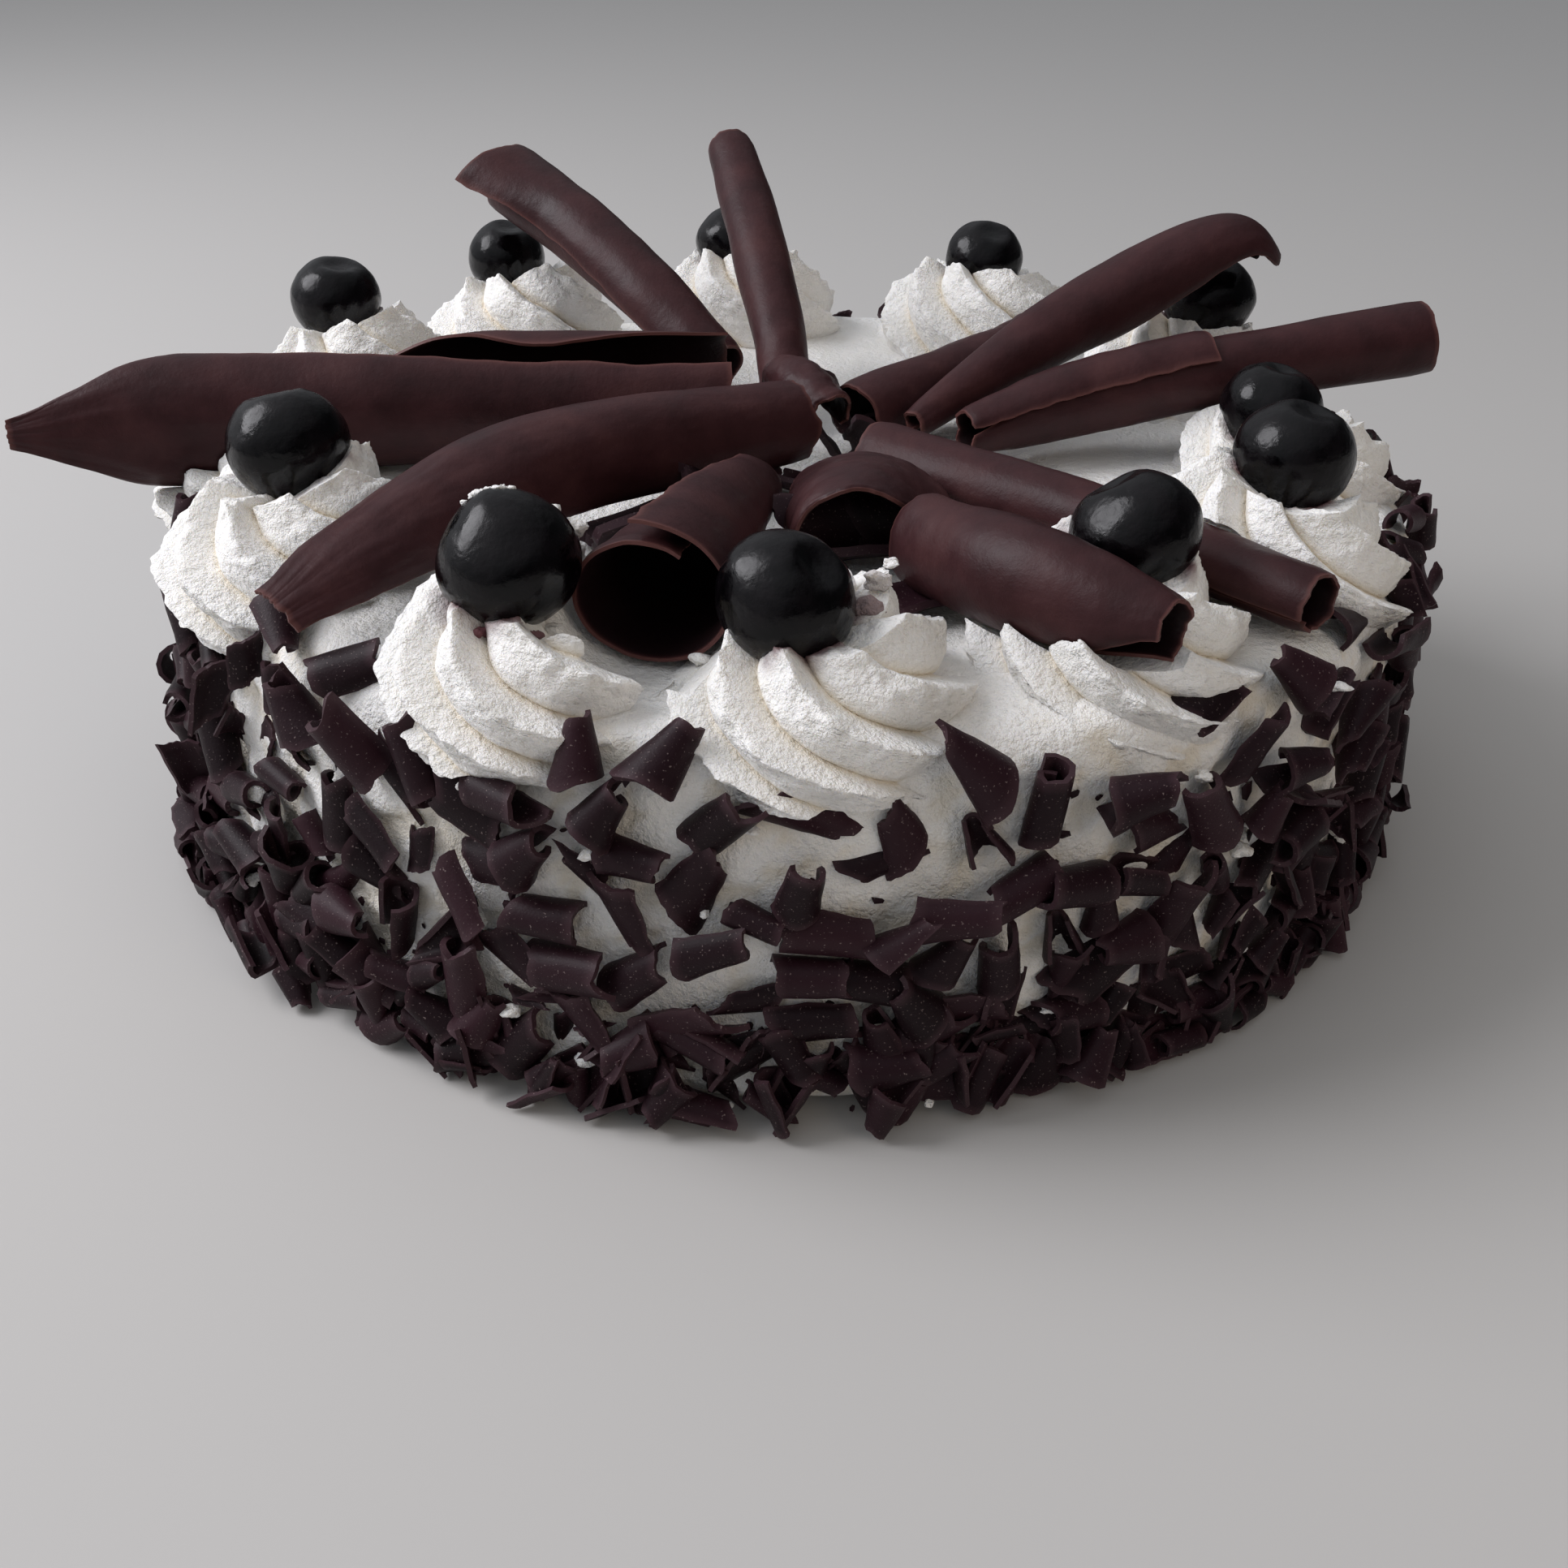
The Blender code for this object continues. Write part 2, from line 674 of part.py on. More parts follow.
def fuse_flakes(body, tools):
    """Joins every flake that has room to the body, and then drops any loose scrap."""
    fused = []
    for i, (angle, height, *form) in enumerate(spread_flakes()):
        for drop in FLAKE_DROPS:
            mesh = flake_mesh(f"flake_{i:03d}", angle, height - drop, *form)
            points = [vertex.co.copy() for vertex in mesh.vertices]
            place = points[0]
            crowded = any((place - other).length < FLAKE_SPACING for other in fused)
            if not crowded and clear_of_rosettes(points) and clear_of_curls(points):
                fused.append(place)
                new_object(mesh.name, mesh, tools)
                break
            bpy.data.meshes.remove(mesh)
    boolean(body, "UNION", collection=tools, solver="MANIFOLD")
    for obj in list(tools.objects):
        bpy.data.objects.remove(obj, do_unlink=True)
    scraps = keep_largest(body)
    print(f"fused {len(fused)} flakes, dropped {scraps} scraps")


def main():
    clear_scene()
    parts = new_collection("ice_cream_cake")
    cutters = new_collection("cutters")
    flakes = new_collection("side_flakes")

    cream = new_material("whipped_cream", "F4EEE2", 0.6)
    dark = new_material("dark_chocolate", "43302F", 0.45)
    fruit = new_material("dark_cherry", "140D14", 0.15)

    body = make_drum("cake_body", parts)
    body.data.materials.append(cream)
    drum_tool = make_drum("drum_cutter", cutters, grow=GAP)
    hide_as_tool(drum_tool)

    for name, curl in CURLS.items():
        make_curl(name, curl, parts, dark)

    cherry_tools = []
    for i, row in enumerate(CHERRIES, 1):
        make_cherry(f"cherry_{i:02d}", row, parts, fruit)
        tool = make_cherry(f"cherry_cutter_{i:02d}", row, cutters, None, grow=GAP)
        hide_as_tool(tool)
        cherry_tools.append((tool, Vector(row[:3]) * MM, row[3] * MM))

    curl_tools = {name: make_curl_tool(f"{name}_cutter", curl, cutters) for name, curl in CURLS.items()}

    for i, row in enumerate(ROSETTES, 1):
        rosette = make_rosette(f"rosette_{i:02d}", row, parts, cream)
        boolean(rosette, "DIFFERENCE", drum_tool)
        middle = rosette_middle(row)
        for tool, point, radius in cherry_tools:
            if (point - middle).xy.length < row[2] * MM + radius:
                boolean(rosette, "DIFFERENCE", tool)
        for name, tool in curl_tools.items():
            if near_curl(middle, CURLS[name], row[2] * MM):
                boolean(rosette, "DIFFERENCE", tool)
        keep_largest(rosette)

    fuse_flakes(body, flakes)
    bpy.data.collections.remove(flakes)

    for obj in list(parts.objects):
        obj.data.shade_smooth()
        obj.data.set_sharp_from_angle(angle=math.radians(40))
    for obj in list(cutters.objects):
        bpy.data.objects.remove(obj, do_unlink=True)


main()
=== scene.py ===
# %% [markdown]
# # A cream cake with cherries and chocolate curls
# The real cake is a round block covered in whipped cream. Twelve swirls of cream are piped round its rim, a
# dark cherry sits on eleven of them, large chocolate curls lie like a fan on top, and small chocolate
# flakes are pressed into the side. The solids from the CAD model give every size and place. This lesson
# makes the finer shapes and the finishes that replace them, one kind of piece at a time.

import json
import math
import random

import bpy
import numpy as np
from mathutils import Matrix, Vector, noise

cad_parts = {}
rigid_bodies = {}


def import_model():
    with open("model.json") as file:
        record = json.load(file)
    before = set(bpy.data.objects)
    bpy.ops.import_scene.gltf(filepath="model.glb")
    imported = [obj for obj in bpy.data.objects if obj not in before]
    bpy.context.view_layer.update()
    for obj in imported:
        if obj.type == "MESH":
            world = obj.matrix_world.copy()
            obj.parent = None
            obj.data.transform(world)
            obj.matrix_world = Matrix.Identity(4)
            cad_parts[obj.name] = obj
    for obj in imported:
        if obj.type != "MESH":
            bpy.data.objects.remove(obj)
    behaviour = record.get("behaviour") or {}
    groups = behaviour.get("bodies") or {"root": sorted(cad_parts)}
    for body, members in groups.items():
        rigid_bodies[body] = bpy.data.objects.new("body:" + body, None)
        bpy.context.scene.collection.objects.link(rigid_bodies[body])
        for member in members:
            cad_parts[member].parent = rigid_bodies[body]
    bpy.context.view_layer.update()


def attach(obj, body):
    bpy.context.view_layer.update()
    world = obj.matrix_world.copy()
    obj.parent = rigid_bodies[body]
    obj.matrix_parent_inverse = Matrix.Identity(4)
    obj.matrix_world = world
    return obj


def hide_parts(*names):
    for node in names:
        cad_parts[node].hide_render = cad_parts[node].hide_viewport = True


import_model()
MM = 0.001
UP = Vector((0, 0, 1))

# %% [markdown]
# ## Helpers for shapes
# Each piece starts as a Blender primitive. A flat grid can be rolled like a sheet and a ball can be pulled
# into any closed form, so one helper reads all the points of a mesh and another puts them where a formula
# says. That is quicker and more even than pulling rings by hand, and the pieces keep the sizes that the CAD
# model has.

# %% Shape helpers


def start_piece():
    """Leaves edit mode and deselects everything, because an operator acts on all that is selected."""
    if bpy.context.object and bpy.context.object.mode != "OBJECT":
        bpy.ops.object.mode_set(mode="OBJECT")
    bpy.ops.object.select_all(action="DESELECT")


def grid_piece(name, across, along):
    """A flat grid whose points run from 0 to 1 in X and Y, ready to be shaped."""
    start_piece()
    bpy.ops.mesh.primitive_grid_add(
        x_subdivisions=across, y_subdivisions=along, size=1, location=(0.5, 0.5, 0)
    )
    bpy.ops.object.transform_apply(location=True, rotation=True, scale=True)
    piece = bpy.context.object
    piece.name = piece.data.name = name
    return piece


def ball_piece(name, segments, rings):
    """A round ball of radius 1 with closed poles, ready to be shaped."""
    start_piece()
    bpy.ops.mesh.primitive_uv_sphere_add(segments=segments, ring_count=rings, radius=1)
    piece = bpy.context.object
    piece.name = piece.data.name = name
    return piece


def points_of(piece):
    """All points of a mesh as rows of x, y and z."""
    flat = np.empty(len(piece.data.vertices) * 3)
    piece.data.vertices.foreach_get("co", flat)
    return flat.reshape(-1, 3)


def put_points(piece, rows):
    """Moves all points of a mesh to the rows."""
    piece.data.vertices.foreach_set("co", np.asarray(rows, dtype=float).ravel())
    piece.data.update()


def lumps(rows, size, seed, octaves):
    """Smooth noise from about -1 to 1, in lumps about size across, with finer ones for more octaves."""
    shift = Vector((seed * 7.13, seed * 3.71, seed * 5.37))
    return np.array([noise.fractal(Vector(row) / size + shift, 1.0, 2.1, octaves) for row in rows])


def face_outwards(piece):
    """Turns every face outwards."""
    start_piece()
    piece.select_set(True)
    bpy.context.view_layer.objects.active = piece
    bpy.ops.object.mode_set(mode="EDIT")
    bpy.ops.mesh.select_all(action="SELECT")
    bpy.ops.mesh.normals_make_consistent(inside=False)
    bpy.ops.object.mode_set(mode="OBJECT")


def apply_modifier(piece, kind, **settings):
    """Adds a modifier with its settings and applies it."""
    start_piece()
    piece.select_set(True)
    bpy.context.view_layer.objects.active = piece
    modifier = piece.modifiers.new(kind.lower(), kind)
    for name, value in settings.items():
        setattr(modifier, name, value)
    bpy.ops.object.modifier_apply(modifier=modifier.name)


def mark(piece, name, values):
    """Stores one number per point, which a material can read under that name."""
    layer = piece.data.attributes.new(name, "FLOAT", "POINT")
    layer.data.foreach_set("value", np.clip(values, 0, 1).astype(np.float32))


def finish_piece(piece, material, nodes, angle=40):
    """Gives the piece its material, smooth shading and its place in the frame."""
    start_piece()
    piece.select_set(True)
    bpy.context.view_layer.objects.active = piece
    piece.data.materials.clear()
    piece.data.materials.append(material)
    bpy.ops.object.shade_smooth_by_angle(angle=math.radians(angle))
    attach(piece, "root")
    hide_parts(*nodes)
    return len(piece.data.polygons)


# %% [markdown]
# ## Helpers for materials
# Colours are picked as the sRGB hex values of a screen, and a shader works in linear light, so one function
# turns one into the other. Another adds a node together with its settings and links. The rest add the nodes
# that these materials share, which keeps each material short to read.

# %% Material helpers


def linear(hex_colour):
    """A linear RGBA colour from an sRGB hex value."""
    channels = [int(hex_colour[i:i + 2], 16) / 255 for i in (0, 2, 4)]
    return (*[c / 12.92 if c <= 0.04045 else ((c + 0.055) / 1.055) ** 2.4 for c in channels], 1.0)


def add(tree, kind, inputs=None, **settings):
    """Adds a node, sets its properties, and gives each named or numbered input a value or a link."""
    node = tree.nodes.new("ShaderNode" + kind)
    for name, value in settings.items():
        setattr(node, name, value)
    for name, value in (inputs or {}).items():
        if isinstance(value, bpy.types.NodeSocket):
            tree.links.new(value, node.inputs[name])
        else:
            node.inputs[name].default_value = value
    return node


def new_material(name, roughness, **sockets):
    """A Principled material, its node tree and its shader, whose sockets take what is the same all over."""
    material = bpy.data.materials.new(name)
    material.use_nodes = True
    tree = material.node_tree
    shader = tree.nodes["Principled BSDF"]
    shader.inputs["Roughness"].default_value = roughness
    for socket, value in sockets.items():
        shader.inputs[socket.replace("_", " ")].default_value = value
    return material, tree, shader


def ramp(tree, value, stops):
    """A colour ramp through (place, hex colour) stops."""
    node = add(tree, "ValToRGB", {"Fac": value})
    elements = node.color_ramp.elements
    elements[0].position, elements[-1].position = stops[0][0], stops[-1][0]
    elements[0].color, elements[-1].color = linear(stops[0][1]), linear(stops[-1][1])
    for place, colour in stops[1:-1]:
        elements.new(place).color = linear(colour)
    return node.outputs["Color"]


def attribute(tree, name):
    """The number that each point carries under that name."""
    return add(tree, "Attribute", attribute_name=name).outputs["Fac"]


def blend(tree, share, first, colour):
    """The first colour, turned into the hex colour by a share from 0 to 1."""
    return add(tree, "Mix", {0: share, 6: first, 7: linear(colour)}, data_type="RGBA").outputs[2]


def noise_at(tree, place, size, detail, roughness=0.5):
    """Noise from 0 to 1 in lumps about size across."""
    inputs = {"Vector": place, "Scale": 1 / size, "Detail": detail, "Roughness": roughness}
    return add(tree, "TexNoise", inputs).outputs["Fac"]


def remap(tree, value, low, high, at_low, at_high):
    """A number that goes from at_low to at_high while the value goes from low to high."""
    return add(tree, "MapRange", {"Value": value, 1: low, 2: high, 3: at_low, 4: at_high}).outputs[0]


def roughen(tree, shader, height, strength, depth):
    """Gives the surface a fine relief."""
    relief = add(tree, "Bump", {"Height": height, "Strength": strength, "Distance": depth})
    tree.links.new(relief.outputs["Normal"], shader.inputs["Normal"])


# %% [markdown]
# ## Whipped cream
# Whipped cream is milk fat full of tiny bubbles. Light goes a few millimetres into it, which softens its
# shadows, and the surface is matt with pinholes. In deep folds it looks warmer, because light has bounced
# there more than once, and that warmth is painted into the colour as painted warm shade. A stain near a
# cherry is its juice. The points carry two numbers for this, crease and stain.

# %% Whipped cream material
cream, tree, shader = new_material(
    "whipped_dairy_cream",
    0.66,
    Subsurface_Weight=0.15,
    Subsurface_Scale=2.5 * MM,
    Specular_IOR_Level=0.25,
)
shader.inputs["Subsurface Radius"].default_value = (1.0, 0.85, 0.6)
place = add(tree, "TexCoord").outputs["Object"]
# Soft clouds of two whites keep a large patch of cream from looking painted.
clouds = noise_at(tree, place, 14 * MM, 3.0)
fresh = ramp(tree, clouds, ((0.3, "ECEAE5"), (0.7, "F5F3F0")))
# Painted warm shade: the creases are tinted warmer, in place of the light that bounces in the folds.
painted_crease_warmth = blend(tree, attribute(tree, "crease"), fresh, "EBDFC8")
stained = blend(tree, attribute(tree, "stain"), painted_crease_warmth, "5A1C28")
tree.links.new(stained, shader.inputs["Base Color"])
# Bubbles of real cream are under 0.1 mm. They are drawn at 0.2 to 1.6 mm, so that they show at this
# distance.
bubbles = noise_at(tree, place, 1.6 * MM, 3.0, 0.7)
roughen(tree, shader, bubbles, 1.0, 1.0 * MM)
print("material:", cream.name)

# %% [markdown]
# ## Chocolate
# The curls are shaved from a block of dark chocolate. A shaved face has a satin gloss and a fine grain, a
# torn edge is paler and redder, and the inner face of a roll is painted nearly black as painted shade inside
# the roll. The flakes on the side are thinner and were handled, so they are matt, darker, and dusted with
# pale specks of fat and cream. Both are cocoa fat, whose index of refraction is about 1.46. The points carry
# numbers for the edge, the painted shade of the inner face and the shade of a flake.

# %% Chocolate materials
curl_chocolate, tree, shader = new_material("shaved_dark_chocolate", 0.42, IOR=1.46, Specular_IOR_Level=0.2)
place = add(tree, "TexCoord").outputs["Object"]
# Chocolate sets in clouds of slightly different brown, and its gloss changes with them.
marbled = noise_at(tree, place, 16 * MM, 5.0, 0.6)
shaved = ramp(tree, marbled, ((0.3, "2B1618"), (0.52, "391F21"), (0.75, "472A2A")))
torn = blend(tree, attribute(tree, "edge"), shaved, "5C3A37")
# Painted shade: the inner face of a roll is darkened to near black, where little light reaches inside the
# roll.
painted_inner_shade = blend(tree, attribute(tree, "inner"), torn, "140A0C")
tree.links.new(painted_inner_shade, shader.inputs["Base Color"])
tree.links.new(remap(tree, marbled, 0.3, 0.7, 0.38, 0.52), shader.inputs["Roughness"])
grain = noise_at(tree, place, 1.6 * MM, 4.0, 0.65)
roughen(tree, shader, grain, 0.34, 0.4 * MM)
print("material:", curl_chocolate.name)

flake_chocolate, tree, shader = new_material("flaked_dark_chocolate", 0.5, IOR=1.46, Specular_IOR_Level=0.18)
place = add(tree, "TexCoord").outputs["Object"]
dark = ramp(tree, attribute(tree, "shade"), ((0.0, "160A0E"), (0.6, "221117"), (1.0, "301A21")))
worn = blend(tree, attribute(tree, "edge"), dark, "3E2B30")
# The noise passes the lower limit only at its peaks, which leaves specks of 0.1 to 0.3 mm.
dust = noise_at(tree, place, 0.42 * MM, 1.0)
speckled = blend(tree, remap(tree, dust, 0.68, 0.76, 0.0, 0.4), worn, "A08F8C")
tree.links.new(speckled, shader.inputs["Base Color"])
roughen(tree, shader, dust, 0.2, 0.25 * MM)
print("material:", flake_chocolate.name)

# %% [markdown]
# ## Cherries
# Dark cherries from a jar are nearly black and wet, so they are seen mostly by what they mirror. Wet skin
# mirrors little, which the low index of refraction gives, and the syrup on it is a thin clear coat. The
# skin is duller in the patches where it has dried, and small wrinkles break up the highlight.

# %% Cherry material
cherry_skin, tree, shader = new_material(
    "syrup_cherry_skin", 0.2, IOR=1.28, Coat_Weight=0.12, Coat_Roughness=0.06
)
place = add(tree, "TexCoord").outputs["Object"]
patches = noise_at(tree, place, 6 * MM, 4.0, 0.6)
skin = ramp(tree, patches, ((0.35, "020203"), (0.65, "0A0609")))
tree.links.new(skin, shader.inputs["Base Color"])
tree.links.new(remap(tree, patches, 0.4, 0.62, 0.14, 0.34), shader.inputs["Roughness"])
wrinkles = noise_at(tree, place, 1.8 * MM, 4.0)
roughen(tree, shader, wrinkles, 0.3, 0.6 * MM)
print("material:", cherry_skin.name)

# %% [markdown]
# ## The block of the cake
# The cake was smoothed with a scraper, so its side is straight, its top edge is rounded, and its side
# carries low streaks along the scraper's path. It is a cylinder whose top edge is bevelled in edit mode. A
# voxel remesh then gives it even small faces, on which the streaks and torn patches can be raised. It leans
# a few millimetres to the right.

# %% Cake sizes
DRUM_BASE_RADIUS = 126 * MM
DRUM_TOP_RADIUS = 124 * MM
DRUM_HEIGHT = 70 * MM
DRUM_EDGE_RADIUS = 8 * MM
# The top has slid 5.5 mm to the right over the height of the cake.
LEAN = 5.5 / 70
CREAM_FACE = 1.9 * MM
# Heights of the relief in mm: the scraper's streaks, the waves of the coat and the patches that it tore.
STREAKS, WAVES, TORN_PATCHES = 0.55, 0.8, 2.2
TOP_WAVES = 0.35


def lean(rows):
    """Moves upright points to where the lean puts them."""
    rows = np.array(rows, dtype=float)
    rows[:, 0] += LEAN * rows[:, 2]
    return rows


# %% Cake body
start_piece()
bpy.ops.mesh.primitive_cylinder_add(
    vertices=128, radius=DRUM_BASE_RADIUS, depth=DRUM_HEIGHT, location=(0, 0, DRUM_HEIGHT / 2)
)
bpy.ops.object.transform_apply(location=True, rotation=True, scale=True)
block = bpy.context.object
block.name = block.data.name = "cream_covered_block"
rows = points_of(block)
top = rows[:, 2] > DRUM_HEIGHT / 2
rows[top, :2] *= DRUM_TOP_RADIUS / DRUM_BASE_RADIUS
put_points(block, rows)
for face in block.data.polygons:
    face.select = False
for rim in block.data.edges:
    rim.select = all(block.data.vertices[i].co.z > DRUM_HEIGHT / 2 for i in rim.vertices)
bpy.ops.object.mode_set(mode="EDIT")
bpy.ops.mesh.bevel(offset=DRUM_EDGE_RADIUS, segments=7, affect="EDGES")
bpy.ops.object.mode_set(mode="OBJECT")
apply_modifier(block, "REMESH", mode="VOXEL", voxel_size=CREAM_FACE)
rows = points_of(block)
radius = np.hypot(rows[:, 0], rows[:, 1])
around = np.arctan2(rows[:, 1], rows[:, 0])
outward = np.stack([rows[:, 0] / radius, rows[:, 1] / radius, np.zeros(len(rows))], axis=1)
on_side = np.clip((radius - DRUM_TOP_RADIUS + DRUM_EDGE_RADIUS) / DRUM_EDGE_RADIUS, 0, 1)
# The relief fades out over the lowest 3 mm, where the cake stands.
free = np.clip(rows[:, 2] / (3 * MM), 0, 1)
# Streaks are long round the cake and low in height, so their noise is read on a narrower cylinder.
narrow = 45 * MM
unrolled = np.stack([np.cos(around) * narrow, np.sin(around) * narrow, rows[:, 2]], axis=1)
streaks = lumps(unrolled, 4.5 * MM, 1, 3)
waves = lumps(rows, 24 * MM, 2, 2)
torn = np.maximum(0, lumps(rows, 7 * MM, 3, 3) - 0.12)
side_push = (STREAKS * streaks + WAVES * waves - TORN_PATCHES * torn) * on_side * free * MM
top_push = (TOP_WAVES * waves + TOP_WAVES * lumps(rows, 9 * MM, 4, 3)) * (1 - on_side) * free * MM
rows += outward * side_push[:, None]
rows[:, 2] += top_push
rows[:, 2] = np.maximum(rows[:, 2], 0)
put_points(block, lean(rows))
# The torn patches are hollows, and their crease number gives them painted warm shade.
mark(block, "crease", np.clip(torn * 2.5, 0, 0.55) * on_side)
faces = finish_piece(block, cream, ("cake_body",))
print("cake body:", faces, "faces")

# %% [markdown]
# ## Piped swirls
# A swirl is piped with a star nozzle that turns while it lifts, so each point of the star leaves a ridge
# that winds up towards the middle. One side of a ridge is a steep lip, and the lip is ragged where the
# cream tore. A round ball is pulled into this form: its lower pole is the hidden foot and its upper pole
# the dip that holds the cherry.

# %% Swirl sizes
# Angle round the cake in degrees (0 is +X, -90 the front), ring radius, radius and height in mm.
ROSETTES = (
    (-147.6, 105, 24, 26),
    (-112.0, 107, 23, 25),
    (-86.5, 107, 24, 24),
    (-58.0, 105, 24, 24),
    (-31.0, 106, 24, 26),
    (-3.0, 106, 23, 24),
    (28.0, 108, 24, 27),
    (62.0, 107, 26, 27),
    (95.5, 107, 24, 27),
    (128.0, 107, 24, 27),
    (158.0, 107, 23, 27),
    (186.0, 107, 22, 20),
)
ROSETTE_FOOT = 61 * MM
RIDGES = 7
# How far a ridge winds round on its way up, and how much lower the swirl is on its outer side.
TWIST = math.radians(122)
DROOP = 0.24
# At each share of the height, the ring's share of the radius and the ridges' depth as a share of the ring.
LEVELS = (0.0, 0.27, 0.53, 0.78, 1.0)
RING_SHARES = (0.88, 0.93, 0.90, 0.73, 0.42)
RIDGE_DEPTHS = (0.06, 0.11, 0.16, 0.19, 0.22)
# Height of the dip under the cherry, as a share of the swirl's height.
HOLLOW = 0.85
# Shares of the way from the ball's lower pole to its upper one: the foot, the ridged wall and the dip.
FOOT_SHARE, WALL_SHARE, DIP_START, DIP_SHARE = 0.1, 0.7, 0.8, 0.2
# Shares of the way across a ridge: up its band to the lip, and down the steep side.
LIP_PLACE, STEEP_SHARE = 0.84, 0.16
# Middle of each cherry and its radius, in mm.
CHERRIES = (
    (-88.5, -52.0, 91.0, 11.0),
    (-42.4, -98.0, 89.0, 11.6),
    (1.2, -107.0, 87.0, 11.0),
    (59.4, -80.4, 87.3, 11.3),
    (93.5, -48.5, 90.0, 10.9),
    (99.0, -9.5, 86.0, 10.3),
    (99.5, 56.0, 91.5, 10.6),
    (50.4, 94.5, 91.0, 9.8),
    (-13.8, 109.0, 91.0, 9.5),
    (-70.0, 89.5, 91.0, 9.6),
    (-103.0, 47.5, 91.0, 10.2),
)
# The second and third cherry leaked much juice into the cream, and the others a little.
LEAKING_CHERRIES = (2, 3)
MUCH_JUICE, LITTLE_JUICE = 0.6, 0.15


def rosette_middle(row):
    """Middle of a swirl's foot."""
    angle = math.radians(row[0])
    return Vector((row[1] * MM * math.cos(angle), row[1] * MM * math.sin(angle), ROSETTE_FOOT))


def eased(x, places, values):
    """Values read at x from a table of places and values, with the corners rounded off."""
    return sum(np.interp(x + step, places, values) for step in (-0.09, -0.05, 0, 0.05, 0.09)) / 5


def ridge_shape(angle):
    """From -1 in the furrow, over a broad flat band to 1 on its lip, and down a steep side."""
    phase = angle / (2 * math.pi) % 1
    band = -1 + 2 * np.clip(phase / LIP_PLACE, 0, 1) ** 0.75
    fall = np.cos(math.pi * np.clip((phase - LIP_PLACE) / STEEP_SHARE, 0, 1))
    return np.where(phase < LIP_PLACE, band, fall)


def cherry_juice(rows, patches):
    """How much juice is in the cream at each point: most against a cherry, and in patches."""
    juice = np.zeros(len(rows))
    for number, (x, y, z, size) in enumerate(CHERRIES, 1):
        gap = np.linalg.norm(rows - np.array([x, y, z]) * MM, axis=1) - size * MM
        leak = MUCH_JUICE if number in LEAKING_CHERRIES else LITTLE_JUICE
        near = np.clip(1 - gap / ((2 + 3 * leak) * MM), 0, 1)
        juice = np.maximum(juice, near * np.clip(leak + patches * 1.8, 0, 1))
    return juice


# %% Swirls
def make_swirl(number, row):
    """One piped swirl. Its columns of faces wind up with the ridges, so a lip stays one clean line."""
    piece = ball_piece(f"cream_swirl_{number:02d}", 36 * RIDGES, 80)
    ball = points_of(piece)
    climb = 1 - np.arccos(np.clip(ball[:, 2], -1, 1)) / math.pi
    column = np.arctan2(ball[:, 1], ball[:, 0])
    foot = np.clip(climb / FOOT_SHARE, 0, 1)
    level = np.clip((climb - FOOT_SHARE) / WALL_SHARE, 0, 1)
    middle = np.clip((climb - DIP_START) / DIP_SHARE, 0, 1)
    radius, height = row[2] * MM, row[3] * MM
    ridge = ridge_shape(RIDGES * column)
    angle = column - TWIST * level
    ring = eased(level, LEVELS, RING_SHARES) * foot * (1 - middle)
    depth = eased(level, LEVELS, RIDGE_DEPTHS)
    reach = radius * ring * (1 + depth * ridge)
    rise = height * level * (1 - (1 - HOLLOW) * middle)
    rise += height * 0.06 * np.clip((level - 0.6) / 0.4, 0, 1) * ridge * (1 - middle)
    rise *= 1 - DROOP * np.cos(angle) * ring
    rows = np.stack([reach * np.cos(angle), reach * np.sin(angle), rise], axis=1)
    out = rows - np.array([0, 0, height * 0.25])
    out /= np.linalg.norm(out, axis=1)[:, None] + 1e-9
    # Cream tears in lumps of three sizes, most of all on the lips.
    lip = np.clip((ridge - 0.2) / 0.8, 0, 1) * foot
    push = 0.9 * lumps(rows, 11 * MM, number + 80, 2)
    push += lumps(rows, 4 * MM, number, 3) * (0.32 + 0.6 * lip)
    push += lumps(rows, 1.7 * MM, number + 40, 3) * (0.22 + 0.45 * lip)
    rows += out * (push * MM)[:, None]
    turned = Matrix.Translation(rosette_middle(row)) @ Matrix.Rotation(math.radians(row[0]), 4, "Z")
    turned = np.array(turned)
    rows = rows @ turned[:3, :3].T + turned[:3, 3]
    put_points(piece, rows)
    face_outwards(piece)
    # The furrows' crease number gives them painted warm shade.
    mark(piece, "crease", np.clip(-ridge - 0.35, 0, 1) * foot * (1 - 0.6 * middle))
    mark(piece, "stain", 0.9 * cherry_juice(rows, lumps(rows, 6 * MM, number + 9, 3)))
    return piece


swirls = [make_swirl(number, row) for number, row in enumerate(ROSETTES, 1)]
print("swirls:", len(swirls), "with", len(swirls[0].data.polygons), "faces each")

# %% [markdown]
# ## Chocolate curls
# A curl is a thin sheet that rolls up as the knife pushes it off the block, so it is modelled that way too:
# a flat grid is rolled about an axis, its ends and sides are torn with noise, and Solidify gives it its
# wall, thinner towards the rim. The axes, radii and sweeps are those of the CAD model, with the scoop's lip
# drawn a little closer. The sheet is not quite even, so the roll has soft facets.

# %% Curl sizes
CURL_WALL = 1.35 * MM
# The wall at the rim, as a share of the full wall.
CURL_RIM = 0.45
# Heights in mm of the sheet's soft facets and fine ripples, and how far its ends are torn.
FACETS, RIPPLES, CURL_TEAR = 0.45, 0.12, 1.3
